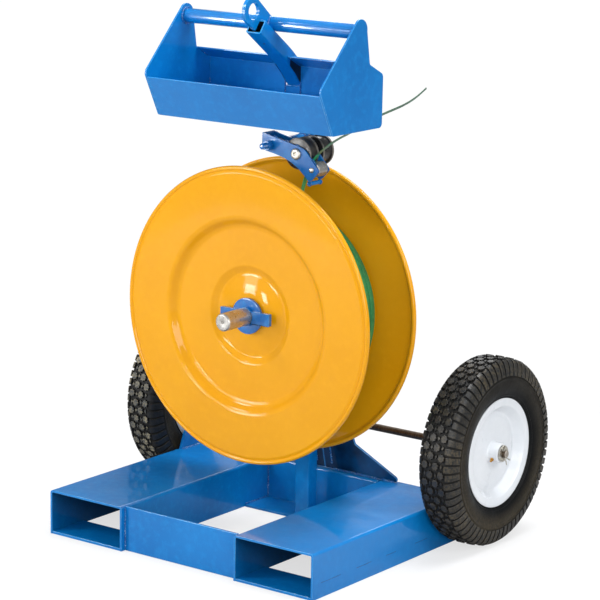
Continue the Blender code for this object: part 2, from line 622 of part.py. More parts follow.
# ---------------------------------------------------------------- arm pivot
PIVOT_R, PIVOT_CLEAR = 0.0063, 0.0005
SHAFT_BACK_Y, SHAFT_FRONT_Y, SHAFT_CHAMFER = MAST_FRONT_Y - 0.0056, -0.0420, 0.001
PIVOT_NUT_R, PIVOT_NUT_T, PIVOT_NUT_Y = 0.0110, 0.0110, -0.0215
SPACER_R, SPACER_FRONT_Y, SPACER_REAR_Y = 0.0120, 0.0320, 0.0980

place(rod(PIVOT_R, -SHAFT_BACK_Y, -SHAFT_FRONT_Y, 20, "-Y", SHAFT_CHAMFER),
      "arm_pivot_shaft", "blue_enamel", (PIVOT_X, 0, PIVOT_Z))
place(hex_nut(PIVOT_NUT_R, PIVOT_NUT_T, PIVOT_R + GAP, 20), "arm_pivot_nut", "blue_enamel",
      (PIVOT_X, PIVOT_NUT_Y, PIVOT_Z), smooth=30)
place(tube(PIVOT_R + GAP, SPACER_R, -SPACER_REAR_Y, -SPACER_FRONT_Y, 16, "-Y"),
      "arm_pivot_spacer", "blue_enamel", (PIVOT_X, 0, PIVOT_Z))

# ---------------------------------------------------------------- guide arm
ARM_FRONT_Y, ARM_REAR_Y, ARM_T = -0.0130, 0.0270, 0.0040
ARM_MID_Y = (ARM_FRONT_Y + ARM_REAR_Y) / 2
SPOOL_BOLT_R, ROLLER_PIN_R = 0.0040, 0.0030
# x, z, corner radius
ARM_OUTLINE = [
    (-0.0110, 0.8720, 0.006), (0.0900, 0.8500, 0), (0.1010, 0.8455, 0),
    (0.1360, 0.8055, 0.003), (0.1345, 0.8010, 0), (0.1180, 0.7835, 0.003),
    (0.1105, 0.7818, 0.003), (0.1003, 0.7916, 0), (0.0831, 0.8066, 0),
    (0.0631, 0.8179, 0), (0.0474, 0.8240, 0), (0.0218, 0.8300, 0),
    (-0.0110, 0.8360, 0.006),
]
WEB_X, WEB_Z, WEB_SET = (-0.0108, -0.0078), (0.8372, 0.8706), 0.0012
SLEEVE_R = 0.0110
GUIDE_ROD_X, GUIDE_ROD_Z, GUIDE_ROD_R, GUIDE_ROD_CHAMFER = 0.1135, 0.7768, 0.0045, 0.0008


def arm_plate(name, mid_y):
    outline = rounded([(x - PIVOT_X, z - PIVOT_Z, radius) for x, z, radius in ARM_OUTLINE], 2)
    holes = [
        circle_points(PIVOT_R + PIVOT_CLEAR, 20),
        circle_points(SPOOL_BOLT_R + GAP, 16, (SPOOL_X - PIVOT_X, SPOOL_Z - PIVOT_Z)),
        circle_points(ROLLER_PIN_R + GAP, 16, (ROLLER_X - PIVOT_X, ROLLER_Z - PIVOT_Z)),
    ]
    return place(prism(outline, ARM_T, "Y", holes), name, "blue_enamel",
                 (PIVOT_X, mid_y, PIVOT_Z), ARM_AXIS, smooth=20)


front_arm = arm_plate("arm_plate_front", ARM_FRONT_Y + ARM_T / 2)
arm_plate("arm_plate_rear", ARM_REAR_Y - ARM_T / 2)
# web at the pivot end, reaching back to the rear plate
web, centre = box((WEB_X[0], ARM_FRONT_Y + WEB_SET, WEB_Z[0]),
                  (WEB_X[1], ARM_REAR_Y - ARM_T - GAP, WEB_Z[1]))
combine(front_arm, web, "arm_end_web", centre, "UNION")

sleeve_half = (ARM_REAR_Y - ARM_FRONT_Y) / 2 - ARM_T - GAP
place(tube(PIVOT_R + PIVOT_CLEAR, SLEEVE_R, -sleeve_half, sleeve_half, 16, "-Y"),
      "arm_pivot_sleeve", "zinc_steel", (PIVOT_X, ARM_MID_Y, PIVOT_Z), ARM_AXIS)
place(rod(GUIDE_ROD_R, -ARM_REAR_Y, -ARM_FRONT_Y, 16, "-Y", GUIDE_ROD_CHAMFER),
      "strap_guide_rod", "blue_enamel", (GUIDE_ROD_X, 0, GUIDE_ROD_Z), ARM_AXIS)

# ---------------------------------------------------------------- spools and roller
SPOOL_R, SPOOL_DRUM_R, SPOOL_BORE, SPOOL_RIM, SPOOL_CONE = 0.0330, 0.0290, 0.0048, 0.0030, 0.0055
REAR_SPOOL_SPAN = (-0.0750, -0.0380)
SPOOL_NUT_R, SPOOL_NUT_T, SPOOL_NUT_Y = 0.0075, 0.0055, 0.0790
ROLLER_R, ROLLER_CLEAR, ROLLER_CHAMFER = 0.0160, 0.0005, 0.0012
END_PLAY = 0.0008
# local z range between the arm plates, less the end play
ARM_SPAN = (ARM_T + END_PLAY - ARM_REAR_Y, -ARM_FRONT_Y - ARM_T - END_PLAY)
HEAD_SEAT = GAP - ARM_FRONT_Y
# (r, z) profiles, round head in front
SPOOL_BOLT = [
    (0, 0.0190), (0.0075, 0.0186), (0.0116, 0.0164), (0.0122, HEAD_SEAT),
    (SPOOL_BOLT_R, HEAD_SEAT), (SPOOL_BOLT_R, -0.0830), (0, -0.0830),
]
ROLLER_PIN = [
    (0, 0.0165), (0.0045, 0.0160), (0.0058, HEAD_SEAT),
    (ROLLER_PIN_R, HEAD_SEAT), (ROLLER_PIN_R, -0.0305), (0, -0.0305),
]
spool_spot, roller_spot = (SPOOL_X, 0, SPOOL_Z), (ROLLER_X, 0, ROLLER_Z)


def guide_spool(name, low, high):
    """Spool with a thin rim at each end, coned down to its drum."""
    profile = [
        (SPOOL_BORE, high), (SPOOL_R, high), (SPOOL_R, high - SPOOL_RIM),
        (SPOOL_DRUM_R, high - SPOOL_CONE), (SPOOL_DRUM_R, low + SPOOL_CONE),
        (SPOOL_R, low + SPOOL_RIM), (SPOOL_R, low), (SPOOL_BORE, low),
    ]
    place(turned(profile, 20, "-Y"), name, "spool_plastic", spool_spot, SPOOL_AXIS)


guide_spool("guide_spool_front", *ARM_SPAN)
guide_spool("guide_spool_rear", *REAR_SPOOL_SPAN)
place(turned(SPOOL_BOLT, 20, "-Y"), "spool_bolt", "zinc_steel", spool_spot, ARM_AXIS)
place(hex_nut(SPOOL_NUT_R, SPOOL_NUT_T, SPOOL_BOLT_R + GAP, 16), "spool_nut", "zinc_steel",
      (SPOOL_X, SPOOL_NUT_Y, SPOOL_Z), ARM_AXIS, smooth=30)
place(tube(ROLLER_PIN_R + ROLLER_CLEAR, ROLLER_R, *ARM_SPAN, 20, "-Y", ROLLER_CHAMFER),
      "pinch_roller", "turned_steel", roller_spot, ROLLER_AXIS)
place(turned(ROLLER_PIN, 16, "-Y"), "pinch_roller_pin", "zinc_steel", roller_spot, ARM_AXIS)

# ---------------------------------------------------------------- strap runs
STRAP_W, STRAP_T = 0.0130, 0.0010
TAIL_TILT = math.radians(35)
# x, z
RISE_LINE = [(0.0765, 0.7350), (0.0720, 0.7170), (0.0660, 0.7010)]
NIP_LINE = [(0.1390, 0.8580), (0.1200, 0.8360), (0.1085, 0.8235), (0.1035, 0.8165),
            (0.0980, 0.8060), (0.0905, 0.7880)]
# x, y, z
TAIL_LINE = [
    (0.1560, 0.0540, 0.8740), (0.1645, 0.0680, 0.8820), (0.1700, 0.0860, 0.8905),
    (0.1790, 0.1120, 0.9030), (0.1900, 0.1400, 0.9137), (0.2110, 0.1800, 0.9295),
    (0.2270, 0.2020, 0.9450), (0.2416, 0.2200, 0.9645),
]


def ribbon(name, line, parent):
    """Flat strap run midway between the arm plates, with its origin on the parent's axis."""
    origin = EMPTY_SPOTS[parent.name]
    outline = thick_line([(x - origin.x, z - origin.z) for x, z in line], STRAP_T)
    place(prism(outline, STRAP_W, "Y"), name, "strap_green",
          (origin.x, ARM_MID_Y, origin.z), parent)


ribbon("strap_rise", RISE_LINE, CART)
ribbon("strap_nip", NIP_LINE, ARM_AXIS)

tail = line_curve(TAIL_LINE, STRAP_T / 2, 0)
tail.twist_mode = "Z_UP"
tail.extrude = STRAP_W / 2 - STRAP_T / 2
for knot in tail.splines[0].points:
    knot.tilt = TAIL_TILT
place(solid_from(tail), "strap_tail", "strap_green", (0, 0, 0))
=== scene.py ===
"""Looks of a strapping dispenser cart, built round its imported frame.

Metres. X runs across the cart with its left side at -X, Y runs from the front (-Y) to the rear
and Z is up from the floor. The reel turns about Y, ahead of the mast; the wheels turn about X.
Most places are given with y from a datum at the reel, and cart() turns them into frame places.
"""
import math
import random

import bmesh
import bpy
from mathutils import Matrix, Vector

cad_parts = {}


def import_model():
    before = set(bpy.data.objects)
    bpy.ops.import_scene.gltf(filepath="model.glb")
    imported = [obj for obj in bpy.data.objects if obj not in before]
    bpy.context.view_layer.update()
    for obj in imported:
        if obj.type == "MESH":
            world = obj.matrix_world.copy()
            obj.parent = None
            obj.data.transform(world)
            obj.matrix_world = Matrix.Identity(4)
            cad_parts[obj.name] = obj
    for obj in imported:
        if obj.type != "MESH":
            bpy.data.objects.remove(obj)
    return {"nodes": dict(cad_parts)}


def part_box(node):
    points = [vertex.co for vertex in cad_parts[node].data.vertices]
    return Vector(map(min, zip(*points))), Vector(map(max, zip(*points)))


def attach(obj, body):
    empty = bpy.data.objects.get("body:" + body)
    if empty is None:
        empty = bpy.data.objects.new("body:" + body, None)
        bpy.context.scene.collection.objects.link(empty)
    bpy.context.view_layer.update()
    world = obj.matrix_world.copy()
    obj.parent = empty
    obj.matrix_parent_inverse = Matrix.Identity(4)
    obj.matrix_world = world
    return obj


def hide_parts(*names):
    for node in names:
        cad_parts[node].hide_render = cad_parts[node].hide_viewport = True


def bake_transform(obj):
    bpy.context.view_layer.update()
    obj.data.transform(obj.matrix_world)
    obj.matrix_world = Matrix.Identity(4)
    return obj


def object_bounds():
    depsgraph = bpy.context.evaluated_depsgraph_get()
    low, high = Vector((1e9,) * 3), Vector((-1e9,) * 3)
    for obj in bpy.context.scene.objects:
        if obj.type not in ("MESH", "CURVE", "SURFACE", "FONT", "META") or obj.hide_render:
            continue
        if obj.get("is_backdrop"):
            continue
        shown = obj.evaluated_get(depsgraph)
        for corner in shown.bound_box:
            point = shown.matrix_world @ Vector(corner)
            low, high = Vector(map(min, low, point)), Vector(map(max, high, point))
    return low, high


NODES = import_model()["nodes"]
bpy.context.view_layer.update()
random.seed(7)

scene = bpy.context.scene
TURN = 2 * math.pi
X, Y, Z = Vector((1, 0, 0)), Vector((0, 1, 0)), Vector((0, 0, 1))
SIDES = ((-1, "left"), (1, "right"))

# ------------------------------------------------------------ frame positions
POCKET_FRONT, POCKET_REAR = -0.3000, 0.2278      # ends of the fork pockets, y from the datum
DATUM_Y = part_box("fork_pocket_left")[0].y - POCKET_FRONT


def centre(node):
    low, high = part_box(node)
    return (low + high) / 2


def at_datum(node):
    """The centre of a node, moved to the datum in y."""
    middle = centre(node)
    return Vector((middle.x, DATUM_Y, middle.z))


def cart(x, y, z):
    """A cart position (y from the datum) in the frame."""
    return Vector((x, y + DATUM_Y, z))


REEL = cart(0, 0, centre("reel_hub").z)
PIVOT = at_datum("arm_pivot_shaft")
SPOOL = at_datum("guide_spool_front")
ROLLER = at_datum("pinch_roller")
AXLE = centre("wheel_axle")
HANDLE = centre("tray_handle")


# ------------------------------------------------------------ shader helpers
def rgb(*levels):
    """sRGB levels of 0-255 as a linear colour."""
    parts = [level / 255 for level in levels]
    return tuple(c / 12.92 if c <= 0.04045 else ((c + 0.055) / 1.055) ** 2.4
                 for c in parts) + (1,)


def times_tone(colour, tone):
    return tuple(tone * part for part in colour[:3]) + (1,)


class Finish:
    """A material being built, with short calls for its shader nodes."""

    def __init__(self, name):
        self.material = bpy.data.materials.new(name)
        self.material.use_nodes = True
        self.tree = self.material.node_tree
        self.tree.nodes.clear()
        self.output = self.node("OutputMaterial")
        self.shader = self.node("BsdfPrincipled")
        self.feed(self.output.inputs[0], self.shader.outputs[0])
        self.coords = self.node("TexCoord").outputs
        self.place = self.coords["Object"]

    def feed(self, socket, value):
        if isinstance(value, bpy.types.NodeSocket):
            self.tree.links.new(value, socket)
        else:
            socket.default_value = value

    def node(self, kind, inputs=None, **settings):
        node = self.tree.nodes.new("ShaderNode" + kind)
        for key, value in settings.items():
            setattr(node, key, value)
        for key, value in (inputs or {}).items():
            self.feed(node.inputs[key], value)
        return node

    def scaled(self, *scale):
        return self.node("Mapping", {"Vector": self.place, "Scale": scale}).outputs[0]

    def noise(self, scale, detail, rough, place=None):
        return self.node("TexNoise", {"Vector": place or self.place, "Scale": scale,
                                      "Detail": detail, "Roughness": rough}).outputs["Fac"]

    def ramp(self, value, over, to=(0.0, 1.0)):
        """The value with the range over brought to the range to."""
        inputs = {0: value, 1: over[0], 2: over[1], 3: to[0], 4: to[1]}
        return self.node("MapRange", inputs).outputs[0]

    def mottle(self, scale, detail, rough, over, to=(0.0, 1.0)):
        """Noise through a ramp."""
        return self.ramp(self.noise(scale, detail, rough), over, to)

    def mix(self, factor, first, second):
        return self.node("Mix", {0: factor, 6: first, 7: second}, data_type="RGBA").outputs[2]

    def calc(self, operation, *values):
        return self.node("Math", dict(enumerate(values)), operation=operation).outputs[0]

    def times(self, first, second):
        return self.calc("MULTIPLY", first, second)

    def plus(self, first, second):
        return self.calc("ADD", first, second)

    def length(self, first, second):
        return self.calc("SQRT", self.plus(self.times(first, first),
                                           self.times(second, second)))

    def axes(self, vector):
        return self.node("SeparateXYZ", {0: vector}).outputs

    def bump(self, height, distance, strength=1.0, under=None):
        inputs = {"Height": height, "Distance": distance, "Strength": strength}
        if under is not None:
            inputs["Normal"] = under
        return self.node("Bump", inputs).outputs[0]

    def done(self, colour, rough, normal, metal=0.0, coat=0.0, coat_rough=0.1, specular=0.5,
             preview=None):
        """Feed the surface; preview is the colour of the plain viewport."""
        values = {"Base Color": colour, "Roughness": rough, "Metallic": metal,
                  "Normal": normal, "Specular IOR Level": specular}
        if coat:
            values.update({"Coat Weight": coat, "Coat Roughness": coat_rough})
        for key, value in values.items():
            self.feed(self.shader.inputs[key], value)
        if preview:
            self.material.diffuse_color = preview
        return self.material


# ------------------------------------------------------------ materials
def enamel(name, base, deep, pale, rough, coat, peel=0.00006, specks=0.5, specular=0.5,
           wave=0.0010, gloss=0.06, wear=None, ao_shade_reach=None, front_shade=None):
    """Paint with slow colour drift, fine mottling, orange peel and dust specks.

    peel and wave are bump heights, specks the strength of the dust, gloss the roughness of the
    coat, wear the colour of chips, ao_shade_reach the reach of painted shade in hollows and
    front_shade the colour of painted shade laid on faces turned to the front.
    """
    look = Finish(name)
    col = look.mix(look.mottle(scale=4.2, detail=3, rough=0.5, over=(0.35, 0.68)), deep, base)
    col = look.mix(look.mottle(scale=60, detail=5, rough=0.62, over=(0.48, 0.78), to=(0, 0.55)),
                   col, pale)
    grit = look.noise(scale=520, detail=1, rough=0.5)
    col = look.mix(look.ramp(grit, over=(0.72, 0.78), to=(0, specks)), col,
                   times_tone(deep, 0.35))
    sheen = look.plus(look.mottle(scale=17, detail=4, rough=0.6, over=(0.3, 0.75),
                                  to=(rough - 0.05, rough + 0.12)),
                      look.ramp(grit, over=(0.7, 0.78), to=(0, 0.2)))
    if wear:
        chips = look.mottle(scale=46, detail=6, rough=0.68, over=(0.62, 0.66))
        col = look.mix(look.times(chips, 0.55), col, wear)
    # Painted shade: a dark film laid on faces turned to the front.
    if front_shade:
        facing = look.axes(look.coords["Normal"])[1]
        front_shade_mottle = look.mottle(scale=11, detail=3, rough=0.5, over=(0.36, 0.62), to=(0.62, 1.0))
        front = look.ramp(facing, over=(-0.30, 0.05), to=(0.95, 0.0))
        col = look.mix(look.times(front, front_shade_mottle), col, front_shade)
    # Painted shade in hollows: ambient occlusion darkens the paint towards near black.
    if ao_shade_reach:
        hollow = look.node("AmbientOcclusion", {"Distance": ao_shade_reach}, samples=6, only_local=True)
        col = look.mix(look.ramp(hollow.outputs["AO"], over=(0.34, 0.92)),
                       times_tone(deep, 0.05), col)
    skin = look.plus(look.noise(scale=230, detail=2, rough=0.5),
                     look.times(look.noise(scale=900, detail=1, rough=0.5), 0.35))
    normal = look.bump(skin, peel)
    normal = look.bump(look.noise(scale=9, detail=2, rough=0.5), wave, strength=0.35,
                       under=normal)
    return look.done(col, sheen, normal, coat=coat, coat_rough=gloss, specular=specular,
                     preview=base)


SATIN = dict(base=rgb(0, 120, 195), deep=rgb(0, 106, 178), pale=rgb(10, 136, 208),
             rough=0.40, coat=0.80, specular=0.15, gloss=0.05, wave=0.0005)
BLUE = enamel("blue_enamel_paint", **SATIN)
# The fork pockets' paint carries painted shade in their hollows.
BLUE_POCKET_SHADED = enamel("blue_enamel_pocket_painted_shade", ao_shade_reach=0.30, **SATIN)
BLUE_THICK = enamel("blue_enamel_thick", rgb(0, 108, 184), rgb(0, 84, 156), rgb(30, 144, 212),
                    rough=0.30, coat=1.0, specular=0.3, wave=0.0030, peel=0.00012, specks=0.4)
# Near black blue for painted shade, on the inside of the mast and on sheets beside it.
NAVY_SHADE = enamel("blue_painted_shade", rgb(1, 22, 42), rgb(1, 12, 24), rgb(4, 38, 66),
                rough=0.5, coat=0.1)
# Lighter blue for the bevelled edges: a painted highlight, with chips of real wear.
BLUE_EDGE_HIGHLIGHT_WEAR = enamel("blue_enamel_edge_highlight_and_wear", rgb(44, 150, 212), rgb(20, 126, 194),
                   rgb(120, 184, 218), rough=0.28, coat=0.8, wear=rgb(150, 176, 196))
BLUE_GLOSS = enamel("blue_enamel_pipe", rgb(0, 116, 190), rgb(0, 100, 172), rgb(10, 130, 202),
                    rough=0.34, coat=1.0, specular=0.2, gloss=0.12, wave=0.0, peel=0.00001,
                    specks=0.3)
# The gussets' paint carries painted shade on its front faces.
BLUE_GUSSET_SHADED = enamel("blue_enamel_gusset_painted_shade", rgb(0, 112, 186), rgb(0, 98, 168), rgb(8, 126, 198),
                   rough=0.36, coat=0.45, specular=0.15, front_shade=rgb(2, 28, 54))
YELLOW = enamel("yellow_enamel_paint", (0.755, 0.342, 0.004, 1), (0.715, 0.312, 0.003, 1),
                (0.785, 0.362, 0.007, 1), rough=0.42, coat=0.62, specular=0.05, peel=0.00002,
                specks=0.18, wave=0.00018, gloss=0.05)
WHITE = enamel("white_enamel_paint", rgb(228, 231, 235), rgb(222, 226, 231),
               rgb(234, 236, 240), rough=0.30, coat=0.6, specks=0.02, peel=0.00001, wave=0.0,
               gloss=0.05, specular=0.12)
ENAMEL = [BLUE, BLUE_EDGE_HIGHLIGHT_WEAR]
THICK_ENAMEL = [BLUE_THICK, BLUE_EDGE_HIGHLIGHT_WEAR]


def metal(name, bright, dull, stain, rough, lay=None, spangle=0.0, bump=0.00004, shine=1.0):
    """Bare or plated metal; lay is the scale on each axis that draws out its tool marks."""
    look = Finish(name)
    place = look.scaled(*lay) if lay else look.place
    marks = look.noise(scale=1.0 if lay else 240, detail=4, rough=0.6, place=place)
    col = look.mix(look.ramp(marks, over=(0.3, 0.7)), dull, bright)
    if spangle:
        cells = look.node("TexVoronoi", {"Vector": look.place, "Scale": 260}).outputs["Color"]
        col = look.mix(look.times(cells, spangle), col, bright)
    col = look.mix(look.mottle(scale=85, detail=5, rough=0.65, over=(0.52, 0.72),
                               to=(0, 0.75)), col, stain)
    sheen = look.mottle(scale=120, detail=4, rough=0.6, over=(0.3, 0.7),
                        to=(rough - 0.07, rough + 0.14))
    return look.done(col, sheen, look.bump(marks, bump), metal=shine, preview=bright)


TURNED = metal("turned_bar_steel", rgb(212, 209, 203), rgb(150, 147, 142), rgb(150, 144, 134),
               rough=0.30, lay=(60, 2600, 60), bump=0.00003, shine=0.85)
ZINC = metal("zinc_plated_steel", rgb(214, 210, 200), rgb(164, 160, 148), rgb(128, 120, 102),
             rough=0.30, spangle=0.5, shine=0.85)
DARK = metal("oiled_axle_steel", rgb(120, 106, 92), rgb(58, 48, 40), rgb(70, 48, 32),
             rough=0.42, lay=(2200, 60, 60))
ENDS = metal("sawn_axle_end", rgb(196, 188, 178), rgb(128, 116, 104), rgb(92, 76, 62),
             rough=0.36, shine=0.6)
BRASS = metal("yellow_brass", rgb(232, 176, 84), rgb(186, 128, 50), rgb(130, 84, 34),
              rough=0.28)


def weld_finish():
    """Painted weld bead: glossy blue with scattered bare spatter."""
    look = Finish("painted_weld")
    spatter = look.noise(scale=300, detail=3, rough=0.6)
    col = look.mix(look.mottle(scale=90, detail=4, rough=0.6, over=(0.35, 0.7)),
                   rgb(12, 70, 138), rgb(40, 120, 190))
    col = look.mix(look.ramp(spatter, over=(0.62, 0.66)), col, rgb(176, 200, 216))
    normal = look.bump(look.noise(scale=420, detail=3, rough=0.6), 0.0006)
    return look.done(col, look.ramp(spatter, over=(0.3, 0.8), to=(0.2, 0.4)), normal, coat=0.3)


WELD = weld_finish()


def rubber(name, tone, dust, gloss=0.38, banded=False, brown=rgb(98, 86, 62)):
    """Rubber with brown dust; banded keeps the dust to the outer wall, thickest low down."""
    look = Finish(name)
    base, black = times_tone(rgb(38, 42, 46), tone), times_tone(rgb(20, 23, 27), tone)
    col = look.mix(look.mottle(scale=26, detail=5, rough=0.6, over=(0.32, 0.7)), black, base)
    patch = look.times(look.mottle(scale=7.5, detail=4, rough=0.65, over=(0.34, 0.66)),
                       look.mottle(scale=190, detail=5, rough=0.7, over=(0.42, 0.60)))
    if banded:
        x, y, z = look.axes(look.place)
        behind = look.calc("SUBTRACT", y, AXLE.y)
        above = look.calc("SUBTRACT", z, AXLE.z)
        radius = look.length(behind, above)
        band = look.times(look.ramp(radius, over=(0.130, 0.150)),
                          look.ramp(above, over=(0.15, -0.16), to=(0.25, 1.0)))
        patch = look.plus(look.times(patch, 0.6),
                          look.times(look.noise(scale=70, detail=5, rough=0.7), 0.75))
        patch = look.times(patch, band)
    col = look.mix(look.times(patch, dust), col, brown)
    fleck = look.mottle(scale=640, detail=2, rough=0.6, over=(0.66, 0.72))
    col = look.mix(look.times(fleck, 0.3 * dust), col, rgb(150, 140, 118))
    normal = look.bump(look.noise(scale=700, detail=3, rough=0.6), 0.00025)
    normal = look.bump(look.noise(scale=60, detail=3, rough=0.5), 0.0006, strength=0.5,
                       under=normal)
    sheen = look.mottle(scale=22, detail=4, rough=0.6, over=(0.3, 0.75),
                        to=(gloss, gloss + 0.22))
    return look.done(col, sheen, normal, specular=0.16 if banded else 0.42, preview=base)


TREAD = rubber("tyre_tread_rubber", tone=0.50, dust=0.58, gloss=0.34)
# Lighter tread rubber for the left tyre: partly brown dust, partly painted light.
TREAD_DUST_AND_LIGHT = rubber("tyre_tread_dust_and_painted_light", tone=2.2, dust=1.0, gloss=0.5,
                     brown=rgb(168, 156, 124))
WALL = rubber("tyre_wall_rubber", tone=0.15, dust=0.42, gloss=0.34, banded=True)
# Darker rubber for the left tyre's inner shoulder bars: painted shade.
SHOULDER_SHADE = rubber("tyre_shoulder_painted_shade", tone=0.34, dust=0.12, gloss=0.5)
# Darker rubber for the tread's gaps and the sides of its blocks: painted shade.
GROOVE_SHADE = rubber("tyre_groove_painted_shade", tone=0.16, dust=0.10, gloss=0.6)
TUBE = rubber("tube_rubber_dull", tone=0.8, dust=0.2)


def strap_finish(name, deep, base, pale, layered=False):
    """Extruded plastic strap; layered adds the wound turns and their crossing lines."""
    look = Finish(name)
    col = look.mix(look.mottle(scale=34, detail=3, rough=0.6, over=(0.3, 0.72)), deep, base)
    col = look.mix(look.mottle(scale=180, detail=4, rough=0.6, over=(0.5, 0.75), to=(0, 0.4)),
                   col, pale)
    if layered:
        turns_per_metre, crossings, slant = 6200.0, 620.0, 2600.0
        x, y, z = look.axes(look.place)
        above = look.calc("SUBTRACT", z, REEL.z)
        lines = look.calc("SINE", look.times(look.length(x, above), turns_per_metre))
        col = look.mix(look.ramp(lines, over=(-0.2, 0.9), to=(0, 0.35)), col, deep)
        angle = look.calc("ARCTAN2", above, x)
        slants = [look.calc("SINE", look.calc(operation, look.times(angle, crossings),
                                              look.times(y, slant)))
                  for operation in ("ADD", "SUBTRACT")]
        normal = look.bump(look.plus(look.times(*slants), look.times(lines, 0.6)), 0.00012)
    else:
        normal = look.bump(look.noise(scale=900, detail=2, rough=0.5), 0.00006)
    sheen = look.mottle(scale=70, detail=3, rough=0.5, over=(0.3, 0.7), to=(0.30, 0.46))
    return look.done(col, sheen, normal, coat=0.15, preview=base)


STRAP = strap_finish("green_strap_plastic", rgb(34, 142, 88), rgb(58, 176, 112),
                     rgb(104, 204, 146))
COIL = strap_finish("green_strap_wound", rgb(26, 118, 72), rgb(46, 158, 98),
                    rgb(84, 188, 128), layered=True)
STRAP_FAR = strap_finish("green_strap_shaded", rgb(22, 84, 54), rgb(36, 112, 74),
                         rgb(84, 150, 112))


def spool_finish():
    """Black moulded plastic, turned rings and a greasy sheen."""
    look = Finish("spool_black_plastic")
    col = look.mix(look.mottle(scale=50, detail=4, rough=0.6, over=(0.35, 0.7)),
                   rgb(20, 20, 21), rgb(46, 43, 40))
    col = look.mix(look.mottle(scale=13, detail=3, rough=0.6, over=(0.5, 0.75), to=(0, 0.5)),
                   col, rgb(96, 88, 78))
    rings = look.noise(scale=1.0, detail=3, rough=0.5, place=look.scaled(40, 1500, 40))
    normal = look.bump(rings, 0.00008)
    sheen = look.mottle(scale=80, detail=3, rough=0.6, over=(0.3, 0.7), to=(0.24, 0.42))
    return look.done(col, sheen, normal, coat=0.3)


def spool_sheen_face():
    """Grey painted sheen on the running face of a spool flange."""
    look = Finish("spool_painted_sheen")
    col = look.mix(look.mottle(scale=40, detail=5, rough=0.65, over=(0.35, 0.68)),
                   rgb(82, 78, 72), rgb(146, 138, 126))
    col = look.mix(look.mottle(scale=260, detail=3, rough=0.6, over=(0.6, 0.72), to=(0, 0.6)),
                   col, rgb(60, 56, 52))
    normal = look.bump(look.noise(scale=420, detail=3, rough=0.6), 0.00006)
    sheen = look.mottle(scale=90, detail=3, rough=0.6, over=(0.3, 0.7), to=(0.28, 0.48))
    return look.done(col, sheen, normal, metal=0.25, coat=0.1)


def board():
    """Fibrous brown board of the coil's core."""
    look = Finish("core_board")
    fibres = look.noise(scale=1.0, detail=5, rough=0.65, place=look.scaled(30, 260, 30))
    col = look.mix(look.ramp(fibres, over=(0.3, 0.7)), rgb(150, 118, 82), rgb(190, 156, 116))
    normal = look.bump(look.noise(scale=500, detail=4, rough=0.6), 0.0002)
    return look.done(col, 0.85, normal, specular=0.2)


def dark_line():
    """Scorched, thinly painted seam seen as a dark broken line."""
    look = Finish("scored_seam")
    col = look.mix(look.mottle(scale=240, detail=3, rough=0.6, over=(0.4, 0.62)),
                   rgb(10, 30, 62), rgb(18, 78, 142))
    return look.done(col, 0.45, look.bump(look.noise(scale=600, detail=2, rough=0.5), 0.0002))


SPOOL_BLACK, SPOOL_SHEEN = spool_finish(), spool_sheen_face()
BOARD = board()
SEAM = dark_line()


# ------------------------------------------------------------ outlines and paths
def rounded(points, corner=None, seg=8):
    """Outline with round corners of one radius, or of the third column of the points."""
    out = []
    for i, point in enumerate(points):
        radius = point[2] if corner is None else corner
        here = Vector(point[:2])
        if radius <= 0:
            out.append(tuple(point[:2]))
            continue
        before = (Vector(points[i - 1][:2]) - here).normalized()
        after = (Vector(points[(i + 1) % len(points)][:2]) - here).normalized()
        half = 0.5 * before.angle(after)
        if half > math.radians(89):
            out.append(tuple(point[:2]))
            continue
        back = radius / math.tan(half)
        middle = here + (before + after).normalized() * (radius / math.sin(half))
        start, end = here + before * back - middle, here + after * back - middle
        first = math.atan2(start.y, start.x)
        sweep = (math.atan2(end.y, end.x) - first + math.pi) % TURN - math.pi
        for k in range(seg + 1):
            angle = first + sweep * k / seg
            out.append((middle.x + radius * math.cos(angle),
                        middle.y + radius * math.sin(angle)))
    return out


def arc(x, y, radius, start, sweep, steps):
    """Points of an arc, its angles in degrees."""
    angles = [math.radians(start + sweep * k / steps) for k in range(steps + 1)]
    return [(x + radius * math.cos(a), y + radius * math.sin(a)) for a in angles]


def circle(radius, steps, x=0.0, y=0.0):
    return arc(x, y, radius, 0, 360, steps)[:-1]


def hoop(middle, radius, steps, across=X):
    """Closed round path in the plane of Z and the across axis."""
    return [middle + across * a + Z * b for a, b in arc(0, 0, radius, 0, 360, steps)]


def sleeve(inner, outer, start, end, corner, seg=3):
    """Lathe profile of a plain ring."""
    return rounded([(inner, end), (outer, end), (outer, start), (inner, start)], corner, seg)


def rod(radius, start, end, corner, seg=3):
    """Lathe profile of a solid bar."""
    return rounded([(0, end, 0), (radius, end, corner), (radius, start, corner),
                    (0, start, 0)], seg=seg)


def fine(points, step):
    """Points along a line of points, evenly spaced."""
    points = [Vector(p) for p in points]
    out = [points[0]]
    for a, b in zip(points, points[1:]):
        count = max(1, int(round((b - a).length / step)))
        out += [a.lerp(b, (i + 1) / count) for i in range(count)]
    return out


def spline(points, per):
    """Catmull-Rom curve through points, with per steps between two of them."""
    points = [Vector(p) for p in points]
    points = [2 * points[0] - points[1]] + points + [2 * points[-1] - points[-2]]
    out = []
    for a, b, c, d in zip(points, points[1:], points[2:], points[3:]):
        for k in range(per):
            t = k / per
            out.append(0.5 * ((2 * b) + (c - a) * t + (2 * a - 5 * b + 4 * c - d) * t * t
                              + (3 * b - a - 3 * c + d) * t ** 3))
    out.append(points[-2])
    return out


